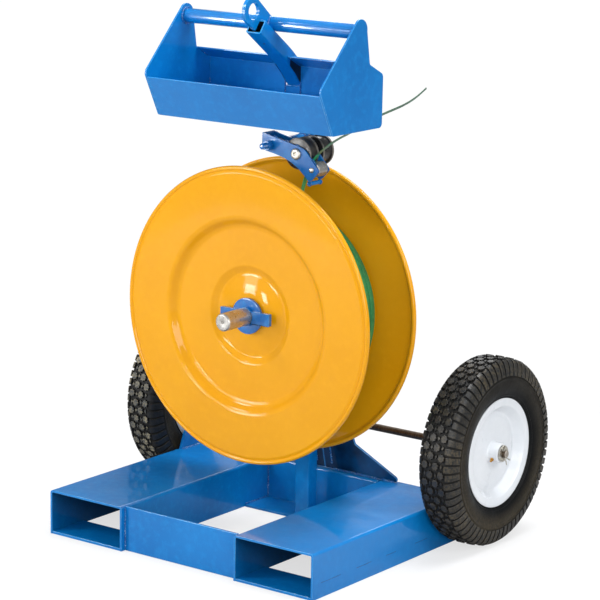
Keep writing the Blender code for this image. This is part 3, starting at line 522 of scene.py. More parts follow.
# ------------------------------------------------------------ mesh helpers
def build(mesh, name, mats, body="frame", replaces=None, smooth=38):
    """The object of a bmesh; body is what it rides on, smooth the widest soft angle."""
    bmesh.ops.recalc_face_normals(mesh, faces=mesh.faces)
    data = bpy.data.meshes.new(name)
    mesh.to_mesh(data)
    mesh.free()
    piece = bpy.data.objects.new(name, data)
    scene.collection.objects.link(piece)
    mats = mats if isinstance(mats, list) else [mats]
    for material in mats:
        data.materials.append(material)
    if smooth:
        data.shade_smooth()
        data.set_sharp_from_angle(angle=math.radians(smooth))
    if body:
        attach(piece, body)
    if replaces:
        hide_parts(replaces)
    return piece


def square_to(axis):
    """Two unit vectors square to an axis and to each other."""
    first = Z if abs(axis.dot(Z)) < 0.9 else X
    first = (first - axis * first.dot(axis)).normalized()
    return first, axis.cross(first)


def spoke(axes, angle):
    return axes[0] * math.cos(angle) + axes[1] * math.sin(angle)


def vert_ring(mesh, middle, axes, radius, sides):
    return [mesh.verts.new(middle + spoke(axes, TURN * k / sides) * radius)
            for k in range(sides)]


def bridge(mesh, first, second, mat=0):
    """Faces between two loops of as many vertices."""
    for k in range(len(first)):
        j = (k + 1) % len(first)
        mesh.faces.new((first[k], first[j], second[j], second[k])).material_index = mat


def bridge_all(mesh, loops):
    for first, second in zip(loops, loops[1:]):
        bridge(mesh, first, second)


def cap_ends(mesh, loops):
    mesh.faces.new(loops[0])
    mesh.faces.new(list(reversed(loops[-1])))


def lathe_into(mesh, profile, steps, origin, axis, mat_of=None, wobble=None):
    """Turn a profile of (radius, distance along the axis); it closes unless it meets the axis."""
    axes = square_to(axis)
    rings = []
    for radius, along in profile:
        if radius < 1e-7:
            rings.append([mesh.verts.new(origin + axis * along)])
            continue
        ring = []
        for k in range(steps):
            angle = TURN * k / steps
            out, on = wobble(radius, along, angle) if wobble else (radius, along)
            ring.append(mesh.verts.new(origin + axis * on + spoke(axes, angle) * out))
        rings.append(ring)
    closed = min(profile)[0] > 1e-6
    for i in range(len(rings) if closed else len(rings) - 1):
        a, b = rings[i], rings[(i + 1) % len(rings)]
        for k in range(steps):
            j = (k + 1) % steps
            if len(a) == 1:
                corners = (a[0], b[k], b[j])
            elif len(b) == 1:
                corners = (a[k], b[0], a[j])
            else:
                corners = (a[k], b[k], b[j], a[j])
            mesh.faces.new(corners).material_index = mat_of(i) if mat_of else 0


def lathe(name, profile, steps, origin, axis, mats, body="frame", replaces=None, smooth=38,
          mat_of=None, wobble=None):
    mesh = bmesh.new()
    lathe_into(mesh, profile, steps, Vector(origin), axis, mat_of, wobble)
    return build(mesh, name, mats, body, replaces, smooth)


def tube_into(mesh, points, radius, sides, lumps=None, closed=False):
    """Round section swept along points, carried without twist."""
    count = len(points)
    tangents = []
    for i in range(count):
        a = points[(i - 1) % count] if closed else points[max(0, i - 1)]
        b = points[(i + 1) % count] if closed else points[min(count - 1, i + 1)]
        tangents.append((b - a).normalized())
    first = square_to(tangents[0])[0]
    rings = []
    for i, (point, tangent) in enumerate(zip(points, tangents)):
        first = (first - tangent * first.dot(tangent)).normalized()
        size = radius * lumps(i) if lumps else radius
        rings.append(vert_ring(mesh, point, (first, tangent.cross(first)), size, sides))
    bridge_all(mesh, rings + rings[:1] if closed else rings)
    if not closed:
        mesh.faces.new(rings[0])
        mesh.faces.new(rings[-1])


WELD_PITCH = 0.0028      # from one coin of a bead to the next


def weld(name, path, bead, seed, body="frame", closed=False, mat=WELD):
    """Stacked-coin weld bead of radius bead laid along a seam."""
    draws = random.Random(seed + len(name))
    points = [point + Vector([draws.uniform(-1, 1) * bead * 0.10 for _ in range(3)])
              for point in fine(path, WELD_PITCH / 3)]
    sizes = [draws.uniform(0.86, 1.12) for _ in range(len(points) // 3 + 2)]
    last = len(points) - 1

    def lump(i):
        taper = 1.0 if closed else min(1.0, 0.45 + min(i, last - i) / 4)
        return sizes[i // 3] * (0.86, 1.04, 1.0)[i % 3] * taper
    mesh = bmesh.new()
    tube_into(mesh, points[:-1] if closed else points, bead, 8, lump, closed)
    build(mesh, name, mat, body, smooth=60)


def side_welds(side, tag, table):
    """Straight beads: (name, bead radius, seed, start, end), x outwards from the middle."""
    for name, bead, seed, start, end in table:
        weld(name + tag, [cart(side * x, y, z) for x, y, z in (start, end)], bead, seed)


def soften(piece, width, seg=2, angle=32):
    """Broken edges in the second material and even shading."""
    join = piece.modifiers.new("join", "WELD")
    join.merge_threshold = 0.00002
    if width:
        bevel = piece.modifiers.new("edges", "BEVEL")
        bevel.width = width
        bevel.segments = seg
        bevel.limit_method = "ANGLE"
        bevel.angle_limit = math.radians(angle)
        bevel.harden_normals = False
        bevel.use_clamp_overlap = True
        bevel.material = 1 if len(piece.data.materials) > 1 else 0
    for face in piece.data.polygons:
        face.use_smooth = True
    shade = piece.modifiers.new("shade", "WEIGHTED_NORMAL")
    shade.keep_sharp = False
    shade.weight = 80


# how a flat outline is stood square to each axis
STAND = {"X": Matrix(((0, 0, 1), (1, 0, 0), (0, 1, 0))),
         "Y": Matrix(((1, 0, 0), (0, 0, -1), (0, 1, 0))),
         "Z": Matrix.Identity(3)}


def slab(name, outline, depth, axis, place, mats=ENAMEL, body="frame", replaces=None,
         holes=(), bevel=0.0007):
    """Flat outline with holes, given thickness along an axis, with broken edges."""
    curve = bpy.data.curves.new(name, "CURVE")
    curve.dimensions = "2D"
    curve.fill_mode = "BOTH"
    curve.extrude = depth / 2
    for loop in [outline] + list(holes):
        line = curve.splines.new("POLY")
        line.points.add(len(loop) - 1)
        for point, (x, y) in zip(line.points, loop):
            point.co = (x, y, 0, 1)
        line.use_cyclic_u = True
    source = bpy.data.objects.new(name + "_c", curve)
    scene.collection.objects.link(source)
    depsgraph = bpy.context.evaluated_depsgraph_get()
    data = bpy.data.meshes.new_from_object(source.evaluated_get(depsgraph))
    bpy.data.objects.remove(source)
    data.transform(Matrix.Translation(place) @ STAND[axis].to_4x4())
    mesh = bmesh.new()
    mesh.from_mesh(data)
    bmesh.ops.remove_doubles(mesh, verts=mesh.verts, dist=0.00002)
    bmesh.ops.dissolve_limit(mesh, angle_limit=0.002, verts=mesh.verts, edges=mesh.edges)
    data.clear_geometry()
    soften(build(mesh, name, mats, body, replaces, smooth=0), bevel)


def dress(node, mats=ENAMEL, width=0.0008, seg=2, angle=32):
    """A CAD node kept as it is, with a finish, broken edges and even shading."""
    piece = NODES[node]
    piece.data.materials.clear()
    for material in (mats if isinstance(mats, list) else [mats]):
        piece.data.materials.append(material)
    if width is not None:
        soften(piece, width, seg, angle)


# ------------------------------------------------------------ base frame
POCKET_W, POCKET_H, POCKET_T = 0.2004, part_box("fork_pocket_left")[1].z, 0.0048
POCKET_IN = 0.1496                      # inner side of a pocket, from the middle
POCKET_OUT = POCKET_IN + POCKET_W
ON_POCKET = POCKET_H + 0.0004           # weld heights over the pockets
UNDER_GUSSET = POCKET_H + 0.0012
SEAM_DASHES = ((-0.272, -0.205), (-0.150, -0.098), (-0.045, -0.010), (0.060, 0.105))  # y runs
FRAME_WELDS = (
    ("weld_front_plate_", 0.0022, 3, (POCKET_IN - 0.0006, POCKET_FRONT + 0.0118, 0.004),
     (POCKET_IN - 0.0006, POCKET_FRONT + 0.0118, 0.092)),
    ("weld_cross_web_", 0.0026, 4, (POCKET_IN - 0.0004, 0.2046, 0.007),
     (POCKET_IN - 0.0004, 0.2046, 0.090)),
    ("weld_cross_floor_", 0.0022, 5, (POCKET_IN - 0.0006, 0.122, 0.0056),
     (POCKET_IN - 0.0006, 0.203, 0.0056)),
    ("weld_bracket_out_", 0.0025, 6, (0.3435, 0.128, ON_POCKET), (0.3435, 0.222, ON_POCKET)),
    ("weld_bracket_in_", 0.0025, 7, (0.3365, 0.128, ON_POCKET), (0.3365, 0.222, ON_POCKET)),
    ("weld_gusset_foot_", 0.0026, 8, (0.022, 0.2166, UNDER_GUSSET),
     (0.140, 0.2166, UNDER_GUSSET)),
    ("weld_gusset_toe_", 0.0028, 9, (0.156, 0.2166, UNDER_GUSSET),
     (0.186, 0.2166, UNDER_GUSSET)))


def pocket_outline():
    """Channel section, open at the floor."""
    half, inner, bend, inner_bend = POCKET_W / 2, POCKET_W / 2 - POCKET_T, 0.0065, 0.0024
    roof = POCKET_H - POCKET_T
    return (rounded([(-half, 0, 0), (-half, POCKET_H, bend), (half, POCKET_H, bend),
                     (half, 0, 0)])
            + rounded([(inner, 0, 0), (inner, roof, inner_bend), (-inner, roof, inner_bend),
                       (-inner, 0, 0)], seg=6))


def seam_dashes(side, tag):
    """Dark dashes low on the outer side of a pocket."""
    x = side * POCKET_OUT
    for k, (start, end) in enumerate(SEAM_DASHES):
        mesh = bmesh.new()
        path = [cart(x, start, 0.0315), cart(x, (start + end) / 2, 0.0312),
                cart(x, end, 0.0316)]
        tube_into(mesh, fine(path, 0.002), 0.00055, 6,
                  lambda i: 0.8 + 0.35 * math.sin(i * 2.4))
        build(mesh, f"seam_dash_{tag}_{k}", SEAM)


for side, tag in SIDES:
    slab("pocket_channel_" + tag, pocket_outline(), POCKET_REAR - POCKET_FRONT, "Y",
         cart(side * (POCKET_IN + POCKET_W / 2), (POCKET_FRONT + POCKET_REAR) / 2, 0),
         [BLUE_POCKET_SHADED, BLUE_EDGE_HIGHLIGHT_WEAR], replaces="fork_pocket_" + tag, bevel=0.0005)
    dress("pocket_tie_" + tag)
    dress("axle_bracket_" + tag, width=0.0007)
    dress("rear_gusset_" + tag, [BLUE_GUSSET_SHADED, BLUE_EDGE_HIGHLIGHT_WEAR], width=0.0007)
    seam_dashes(side, tag)
    side_welds(side, tag, FRAME_WELDS)
dress("front_cross_plate", width=0.0006)
dress("rear_cross_member")

# ------------------------------------------------------------ mast
MAST_W, MAST_D, MAST_WALL = 0.0381, 0.0318, 0.0030
MAST_FRONT = 0.1300                     # y of its front face
BEND_Z, BEND_R, BEND = 0.8035, 0.2750, math.radians(54.0)
BEND_Y, BEND_STEPS = MAST_FRONT - BEND_R, 26
TOP_ARM = 0.0975                        # straight run beyond the bend
MAST_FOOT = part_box("mast")[0].z


def mast_point(along, behind):
    """(y, z) on the straight top arm, along it from the bend and behind its front face."""
    radius = BEND_R + behind
    return Vector((BEND_Y + radius * math.cos(BEND) - math.sin(BEND) * along,
                   BEND_Z + radius * math.sin(BEND) + math.cos(BEND) * along))


def mast_tube():
    """Square tube, straight then bent forwards, open at both ends."""
    bend = [BEND * k / BEND_STEPS for k in range(BEND_STEPS + 1)]
    stations = [(MAST_FRONT, MAST_FOOT, 0.0), (MAST_FRONT, (MAST_FOOT + BEND_Z) / 2, 0.0)]
    stations += [(BEND_Y + BEND_R * math.cos(a), BEND_Z + BEND_R * math.sin(a), a)
                 for a in bend]
    stations.append((*mast_point(TOP_ARM, 0.0), BEND))
    mesh = bmesh.new()
    skins = []
    # The inner skin takes the third material, painted shade inside the tube.
    for inset, corner, mat in ((0.0, 0.0036, 0), (MAST_WALL, 0.0012, 2)):
        half, depth = MAST_W / 2 - inset, MAST_D - 2 * inset
        section = rounded([(-half, 0), (half, 0), (half, depth), (-half, depth)], corner, 5)
        rings = []
        for y, z, angle in stations:
            rearward = Vector((0, math.cos(angle), math.sin(angle)))
            rings.append([mesh.verts.new(cart(0, y, z) + X * across + rearward * (deep + inset))
                          for across, deep in section])
        for first, second in zip(rings, rings[1:]):
            bridge(mesh, first, second, mat)
        skins.append(rings)
    for end in (0, -1):
        bridge(mesh, skins[0][end], skins[1][end], 1)
    build(mesh, "mast_tube", [BLUE, BLUE_EDGE_HIGHLIGHT_WEAR, NAVY_SHADE], replaces="mast", smooth=30)


mast_tube()
# dark rim set in the front face of the top arm, right of the middle
lathe("mast_vent_rim", [(0.0016, 0.00035), (0.0030, 0.00035), (0.0034, -0.0004),
                        (0.0014, -0.0010)], 20,
      cart(0.004, *mast_point(0.0560, 0.0)), Vector((0, -math.cos(BEND), -math.sin(BEND))), SEAM)
foot_weld_z = MAST_FOOT + 0.0006
weld("weld_mast_foot_front", [cart(x, MAST_FRONT - 0.0004, foot_weld_z)
                              for x in (-0.018, 0.018)], 0.0027, seed=11)
for side, tag in SIDES:
    side_welds(side, tag, [("weld_mast_foot_", 0.0026, 12,
                            (0.0194, MAST_FRONT + 0.002, foot_weld_z),
                            (0.0194, MAST_FRONT + 0.030, foot_weld_z))])
    low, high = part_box("rear_gusset_" + tag)
    weld("weld_gusset_mast_" + tag, [(side * 0.0200, high.y - 0.008, low.z + 0.012),
                                     (side * 0.0200, low.y + 0.0042, high.z - 0.004)],
         0.0025, seed=13)

# ------------------------------------------------------------ tool tray
TRAY_HALF, TRAY_END_T = 0.2286, 0.0040
HANDLE_R, HANDLE_HALF, HANDLE_BORE_R = 0.0155, 0.2240, 0.0125
FRONT_FOOT, FRONT_TOP = (-0.0915, 0.8955), (-0.1330, 0.9790)   # (y, z) of the sloping front
LIP = 0.0120                                                   # end plate beyond FRONT_TOP
front_slope = (Vector(FRONT_TOP) - Vector(FRONT_FOOT)).normalized()
# side view of an end plate (y, z, corner radius), with a round lobe at the top
end_outline = rounded(
    [(*FRONT_FOOT, 0.004), (0.0790, 0.8955, 0.010), (0.0800, 1.0060, 0.012),
     (0.0320, 1.0300, 0.006)]
    + [(y, z, 0) for y, z in arc(-0.0020, 1.1015, 0.0230, -8, 132, 26)]
    + [(*(Vector(FRONT_TOP) + LIP * front_slope), 0.014)])
# runs that hold the trough to its ends, (y, z) to (y, z)
STITCHES = (((-0.125, 0.9706), (-0.111, 0.9426)), ((-0.059, 0.9001), (-0.029, 0.9001)),
            ((0.031, 0.9001), (0.059, 0.9001)), ((0.0775, 0.9306), (0.0765, 0.9586)),
            ((0.071, 1.0081), (0.047, 1.0206)))
# (y, z) of a sheet of painted shadow against each side of the mast, under the tray's lip
LIP_SHADOW = [(0.0400, 1.0215), (0.0772, 1.0030), (0.0772, 0.9680), (0.0600, 0.9890),
            (0.0400, 1.0080)]

for side, tag in SIDES:
    slab("tray_end_plate_" + tag, end_outline, TRAY_END_T, "X",
         cart(side * (TRAY_HALF - TRAY_END_T / 2), 0, 0), replaces="tray_end_" + tag)
    seam_x = side * (TRAY_HALF - TRAY_END_T - 0.0006)
    weld("weld_handle_" + tag, hoop(Vector((seam_x, HANDLE.y, HANDLE.z)), 0.0168, 40, Y),
         0.0024, seed=21, closed=True)
    for k, run in enumerate(STITCHES):
        weld(f"weld_tray_{tag}_{k}", [cart(seam_x, y, z) for y, z in run], 0.0022, seed=22 + k)
dress("tray_trough", width=0.0009, seg=3, angle=30)
lathe("handle_pipe", sleeve(HANDLE_BORE_R, HANDLE_R, -HANDLE_HALF, HANDLE_HALF, 0.0003, 2), 56,
      (0, HANDLE.y, HANDLE.z), X, BLUE_GLOSS, replaces="tray_handle")
for side, tag in SIDES:
    side_welds(side, tag, [("weld_mast_tray_", 0.0016, 31, (0.0200, 0.0762, 0.944),
                            (0.0200, 0.0760, 0.972))])
    weld("weld_mast_notch_" + tag, [cart(side * 0.0192, 0.0778, 0.9606),
                                    cart(0, 0.0776, 0.9602)], 0.0022, seed=30, mat=BLUE)
    # A thin near black sheet of painted shadow against each side of the mast.
    slab("mast_slot_gap_" + tag, LIP_SHADOW, 0.0004, "X", cart(side * 0.0193, 0, 0),
         [NAVY_SHADE, NAVY_SHADE], bevel=0.0)
    side_welds(side, tag, [("weld_mast_flange_", 0.0022, 32, (0.0200, 0.0700, 1.0115),
                            (0.0200, 0.0440, 1.0255))])

# ------------------------------------------------------------ lifting eye plate
EYE_Y, EYE_Z, EYE_R, EYE_HOLE_R, EYE_T = -0.0650, 1.1280, 0.0300, 0.0175, 0.0080
handle_y = HANDLE.y - DATUM_Y
# the mouth of the mast, its upper face, round the handle, then round the hole
eye_outline = [tuple(mast_point(along, behind)) for along, behind in (
    (TOP_ARM + 0.0004, 0.0060), (TOP_ARM + 0.0004, MAST_D + 0.0004),
    (0.0735, MAST_D + 0.0004))]
eye_outline += arc(handle_y, HANDLE.z, HANDLE_R + 0.0006, 205, -101, 14)
eye_outline += arc(EYE_Y, EYE_Z, EYE_R, 75, 150, 34)
slab("lifting_eye_plate", eye_outline, EYE_T, "X", cart(0, 0, 0), replaces="lifting_eye",
     holes=[circle(EYE_HOLE_R, 48, EYE_Y, EYE_Z)], bevel=0.0010)
for side, tag in SIDES:
    x = side * (EYE_T / 2 + 0.0006)
    weld("weld_eye_mast_" + tag, [cart(x, *mast_point(along, MAST_D + 0.0006))
                                  for along in (0.076, TOP_ARM - 0.001)], 0.0026, seed=33)
    weld("weld_eye_handle_" + tag,
         [cart(x, y, z) for y, z in arc(handle_y, HANDLE.z, 0.0160, 196, -88, 11)],
         0.0026, seed=34)

# ------------------------------------------------------------ tyres
TYRE_R = 0.2032
TREAD_BASE_R = 0.1955
LUGS = 66
LUG_PITCH = TURN / LUGS
LUG_ROWS = (-0.0196, -0.0066, 0.0066, 0.0196)      # across the tread
BAR_HALF, BAR_LEAN = 0.0072, 0.0022                # half width; drift round the tyre
# one side of the outer skin (radius, distance from mid-plane), bead to crown
TYRE_SKIN = [
    (0.1020, 0.0316), (0.1160, 0.0318), (0.1192, 0.0334), (0.1226, 0.0372), (0.1252, 0.0394),
    (0.1262, 0.0392), (0.1290, 0.0408), (0.1380, 0.0436), (0.1470, 0.0447), (0.1560, 0.0449),
    (0.1600, 0.0447), (0.1612, 0.0452), (0.1626, 0.0452), (0.1638, 0.0446), (0.1660, 0.0438),
    (0.1700, 0.0424), (0.1775, 0.0402), (0.1850, 0.0378), (0.1905, 0.0346), (0.1945, 0.0305),
    (0.1962, 0.0255), (0.1972, 0.0130), (0.1976, 0.0045)]
TYRE_INSIDE = [
    (0.1018, 0.0225), (0.1180, 0.0290), (0.1380, 0.0355), (0.1560, 0.0385), (0.1740, 0.0345),
    (0.1860, 0.0250), (0.1905, 0.0100)]
# top line of a shoulder bar, crown to wall (radius, distance from mid-plane, depth)
SHOULDER_BAR = [
    (0.2012, 0.0270, 0.0060), (0.1998, 0.0308, 0.0062), (0.1968, 0.0350, 0.0056),
    (0.1920, 0.0387, 0.0050), (0.1853, 0.0415, 0.0042), (0.1778, 0.0436, 0.0038),
    (0.1710, 0.0449, 0.0032), (0.1664, 0.0452, 0.0022)]
SHORT_BAR = [(0.2000, 0.0304, 0.0062)] + SHOULDER_BAR[2:]
tyre_profile = (TYRE_SKIN + [(r, -w) for r, w in reversed(TYRE_SKIN)]
                + [(r, -w) for r, w in TYRE_INSIDE] + TYRE_INSIDE[::-1])
# The groove slot holds painted shade, in the gaps and on the block sides.
TREAD_MAT, WALL_MAT, GROOVE_MAT, SHOULDER_MAT = range(4)   # material slots of a tyre
GROOVE_FROM = 14                                           # profile step where grooves begin


def lug_into(mesh, spot, angle, outline, top_radius, inset):
    """Tread block: outline of (arc length, width), drawn in slightly at its top."""
    count = len(outline)
    middle = Vector((sum(p[0] for p in outline) / count, sum(p[1] for p in outline) / count))

    def level(points, radius):
        return [mesh.verts.new(spot(angle + arc_length / TYRE_R, radius, across))
                for arc_length, across in points]
    base = level(outline, TREAD_BASE_R)
    shoulder = level(outline, top_radius - 0.0006)
    drawn = [Vector(p) + (middle - Vector(p)).normalized() * inset for p in outline]
    top = level(drawn, top_radius)
    bridge(mesh, base, shoulder, GROOVE_MAT)
    bridge(mesh, shoulder, top, TREAD_MAT)
    mesh.faces.new(top).material_index = TREAD_MAT
    mesh.faces.new(list(reversed(base))).material_index = GROOVE_MAT


def bar_into(mesh, spot, angle, path, lean, mat):
    """Shoulder bar: a block that follows the shoulder from crown to wall."""
    sections = []
    last = len(path) - 1
    for i, (radius, across, depth) in enumerate(path):
        before, after = path[max(0, i - 1)], path[min(last, i + 1)]
        run_r, run_w = after[0] - before[0], after[1] - before[1]
        run = math.hypot(run_r, run_w)
        out_r, out_w = -run_w / run, run_r / run
        if out_r + out_w * math.copysign(1, across) < 0:
            out_r, out_w = -out_r, -out_w
        half = BAR_HALF * radius / TYRE_R
        section = []
        for arc_length, rise in ((-half + 0.0004, -depth), (-half, -0.0008),
                                 (-half + 0.0009, 0.0), (half - 0.0009, 0.0),
                                 (half, -0.0008), (half - 0.0004, -depth)):
            turned = angle + arc_length / radius + lean * i / last / TYRE_R
            section.append(mesh.verts.new(spot(turned, radius + out_r * rise,
                                               across + out_w * rise)))
        sections.append(section)
    for a, b in zip(sections, sections[1:]):
        for i in range(6):
            j = (i + 1) % 6
            face = mesh.faces.new((a[i], a[j], b[j], b[i]))
            face.material_index = mat if i in (1, 2, 3) else GROOVE_MAT
    for end in (sections[0], list(reversed(sections[-1]))):
        mesh.faces.new(end).material_index = GROOVE_MAT


def knob(row, turned):
    """Notched round tread stud."""
    points = []
    for k in range(16):
        radius = 0.0090 * (1.0 if k % 2 == 0 else 0.78)
        angle = TURN * k / 16 + turned
        points.append((radius * 1.06 * math.cos(angle), row + radius * 0.94 * math.sin(angle)))
    return points


def lozenge(row, half_long=0.0052, half_wide=0.0030):
    return [(-half_long, row), (0, row - half_wide), (half_long, row), (0, row + half_wide)]


def tyre(side, tag, hub, axis):
    axes = square_to(axis)

    def spot(angle, radius, across):
        return hub + axis * across + spoke(axes, angle) * radius
    mesh = bmesh.new()
    groove_to = 2 * len(TYRE_SKIN) - GROOVE_FROM - 2
    lathe_into(mesh, tyre_profile, 132, hub, axis,
               lambda i: GROOVE_MAT if GROOVE_FROM <= i <= groove_to else WALL_MAT)
    for k in range(LUGS // 2):
        for column, row in enumerate(LUG_ROWS):
            angle = ((2 * k + column % 2) * LUG_PITCH
                     + 0.05 * LUG_PITCH * math.sin(k * 2.399 + column))
            top = 0.2031 - 0.0012 * (abs(row) / 0.0212) ** 2
            lug_into(mesh, spot, angle, knob(row, 0.2 + 0.9 * k), top, 0.0007)
            lug_into(mesh, spot, angle + LUG_PITCH, lozenge(row), top - 0.0022, 0.0005)
    # Shoulder bars; on the left tyre the inner ones take the painted shade rubber.
    for k in range(LUGS):
        for edge, stagger in ((-1, 0.75), (1, 0.25)):
            path = [(r, edge * w, depth)
                    for r, w, depth in (SHORT_BAR if k % 2 else SHOULDER_BAR)]
            bar_into(mesh, spot, (k + stagger) * LUG_PITCH, path, edge * BAR_LEAN,
                     TREAD_MAT if side > 0 or edge > 0 else SHOULDER_MAT)
    # The left tyre takes the lighter tread, partly painted light, and painted shade on its inner
    # shoulders.
    mats = [TREAD, WALL, GROOVE_SHADE] if side > 0 else [TREAD_DUST_AND_LIGHT, WALL, GROOVE_SHADE, SHOULDER_SHADE]
    build(mesh, "tyre_treaded_" + tag, mats, "wheel_" + tag, "tyre_" + tag, 35)


# ------------------------------------------------------------ wheels
# rolled rim and its dished disc (radius, outboard from mid-plane, corner radius)
RIM = [
    (0.1178, 0.0362, 0.0009), (0.1178, 0.0338, 0.0009), (0.1140, 0.0326, 0.002),
    (0.1022, 0.0326, 0.003), (0.0990, 0.0290, 0.004), (0.0886, 0.0170, 0.003),
    (0.0880, -0.0170, 0.003), (0.0990, -0.0290, 0.004), (0.1022, -0.0326, 0.003),
    (0.1140, -0.0326, 0.002), (0.1178, -0.0338, 0.0009), (0.1178, -0.0362, 0.0009),
    (0.1130, -0.0366, 0.002), (0.1005, -0.0354, 0.004), (0.0966, -0.0310, 0.004),
    (0.0862, -0.0180, 0.003), (0.0856, 0.0060, 0.004), (0.0730, 0.0150, 0.006),
    (0.0640, 0.0163, 0.006), (0.0213, 0.0163, 0.0004), (0.0213, 0.0196, 0.0004),
    (0.0650, 0.0196, 0.006), (0.0745, 0.0184, 0.006), (0.0860, 0.0152, 0.0050),
    (0.0966, 0.0310, 0.004), (0.1005, 0.0354, 0.004), (0.1130, 0.0366, 0.002)]
HUB = [
    (0.0165, 0.0430, 0.0006), (0.0210, 0.0430, 0.0010), (0.0210, 0.0225, 0.003),
    (0.0238, 0.0197, 0.0006), (0.0238, 0.0160, 0.0006), (0.0210, 0.0132, 0.003),
    (0.0210, -0.0480, 0.001), (0.0165, -0.0480, 0.0006)]
# (radius, distance along the axis)
VALVE_CAP = [(0, -0.0085), (0.0030, -0.0082), (0.0036, -0.0070), (0.0036, -0.0010),
             (0.0030, 0.0), (0.0026, 0.0045), (0, 0.0050)]
NIPPLE = [(0.0, -0.0030), (0.0022, -0.0030), (0.0024, 0.0045), (0.0018, 0.0054),
          (0.0024, 0.0062), (0.0022, 0.0074), (0.0010, 0.0080), (0.0, 0.0080)]
NIPPLE_HEX = ((-0.0004, 0.0040), (0.0030, 0.0040), (0.0034, 0.0036))   # (along, radius)
NIPPLE_WAY = Vector((0, -0.8480, -0.5299))                             # out of the hub
PIN_LEAN = math.radians(22)
AXLE_R, AXLE_HALF = 0.0079, 0.4530


def grease_nipple(tag, hub, axis):
    """Hexagon and nipple pointing out of the hub, forwards and down."""
    foot = hub + axis * 0.0300 + NIPPLE_WAY * 0.0210
    mesh = bmesh.new()
    axes = square_to(NIPPLE_WAY)
    loops = [vert_ring(mesh, foot + NIPPLE_WAY * along, axes, radius, 6)
             for along, radius in NIPPLE_HEX]
    bridge_all(mesh, loops)
    cap_ends(mesh, loops)
    lathe_into(mesh, NIPPLE, 20, foot, NIPPLE_WAY)
    build(mesh, "grease_nipple_" + tag, BRASS, "wheel_" + tag, "grease_fitting_" + tag, 35)


def split_pin(side, tag):
    """Two half loops with straight legs and spread tips."""
    pin_x = centre("cotter_pin_" + tag).x
    cos, sin = math.cos(PIN_LEAN), math.sin(PIN_LEAN)
    mesh = bmesh.new()
    # leg side, outward shift at the spread, tip (outward, sideways, up)
    for leg, spread, (tip_x, tip_y, tip_z) in ((-1, 0.0004, (0.0022, 0.0048, -0.0250)),
                                               (1, 0.0014, (0.0042, 0.0072, -0.0200))):
        points = [(0, y, z) for y, z in arc(0, 0.0148, 0.0056, 90, -150, 10)]
        points += [(0, 0.0009, 0.0082), (0, 0.0009, -0.0082), (spread, 0.0026, -0.0130),
                   (tip_x, tip_y, tip_z)]
        path = [(pin_x + side * x, AXLE.y + leg * y * cos - z * sin,
                 AXLE.z + leg * y * sin + z * cos) for x, y, z in points]
        tube_into(mesh, spline(path, 4), 0.00125, 8)
    build(mesh, "split_pin_" + tag, ZINC, replaces="cotter_pin_" + tag, smooth=50)


for side, tag in SIDES:
    axis = X * side
    hub = Vector((centre("tyre_" + tag).x, AXLE.y, AXLE.z))
    body = "wheel_" + tag
    tyre(side, tag, hub, axis)
    lathe("rim_pressed_" + tag, rounded(RIM, seg=5), 120, hub, axis, WHITE, body, "rim_" + tag)
    lathe("hub_tube_" + tag, rounded(HUB, seg=4), 64, hub, axis, WHITE, body, "hub_" + tag)
    for end in ("outer", "inner"):
        dress(f"hub_bearing_{end}_{tag}", ZINC, 0.0004)
    dress("inner_tube_" + tag, TUBE, None)
    lathe("valve_cap_" + tag, VALVE_CAP, 18, hub - axis * 0.004 + Z * 0.0665, Z, BRASS, body)
    grease_nipple(tag, hub, axis)
    lathe("washer_flat_" + tag, sleeve(0.0083, 0.0175, -0.0014, 0.0014, 0.0004), 56,
          centre("axle_washer_" + tag), axis, ZINC, replaces="axle_washer_" + tag)
    split_pin(side, tag)

axle_profile = rod(AXLE_R, -AXLE_HALF, AXLE_HALF, 0.0012, 4)
lathe("axle_bar", axle_profile, 40, AXLE, X, [DARK, ENDS], replaces="wheel_axle",
      mat_of=lambda i: 1 if i < 4 or i >= len(axle_profile) - 5 else 0)

# ------------------------------------------------------------ reel
FLANGE_R, BEAD_R, SHEET = 0.3178, 0.0050, 0.0018
FLANGE_INNER, DOME_SPAN = 0.0266, 0.0629
BEAD_FOOT = FLANGE_R - 2 * BEAD_R


def flange_profile():
    """Pressed sheet: a dome, a step out to the flat, and a rolled bead at the rim."""
    dome = [(FLANGE_INNER + DOME_SPAN * k / 14, -0.0168 - 0.0094 * (k / 14) ** 2)
            for k in range(15)]
    steps = rounded([(*dome[-1], 0), (0.1050, -0.0170, 0.012), (0.1914, -0.0170, 0.020),
                     (0.2076, 0.0, 0.018), (BEAD_FOOT - 0.0050, 0.0, 0.005),
                     (BEAD_FOOT + 0.0004, -0.0020, 0)], seg=9)
    face = dome[:-2] + [(0.0893, -0.0259), (0.0912, -0.0256)] + steps[1:]
    bead = [(FLANGE_R - BEAD_R + BEAD_R * math.cos(a),
             -BEAD_R + BEAD_R * math.sin(a) * (1.12 if a > 0 else 1.0))
            for a in [math.radians(128 - 268 * k / 22) for k in range(23)]]
    tuck, curl = math.radians(-140), BEAD_R - SHEET
    inside = [(FLANGE_R - BEAD_R + curl * math.cos(tuck), -BEAD_R + curl * math.sin(tuck)),
              (BEAD_FOOT - 0.0006, -SHEET - 0.0014)]
    back = [(radius, along - SHEET) for radius, along in reversed(face)]
    return face + bead + inside + back[1:]


def flange_ripple(radius, along, angle):
    """Slight out-of-flat of the pressed sheet."""
    wave = math.sin(3 * angle + 0.6) + 0.5 * math.sin(5 * angle + 2.1)
    return radius, along + 0.0003 * wave * max(0.0, (radius - 0.20) / 0.118)


for end, y, axis in (("front", -0.0808, -Y), ("rear", 0.0953, Y)):
    lathe("reel_flange_" + end, flange_profile(), 200, cart(0, y, REEL.z), axis, YELLOW,
          "reel", f"reel_{end}_flange", wobble=flange_ripple)
dress("reel_hub", ZINC, 0.0004)
dress("coil_core", BOARD, 0.0003)

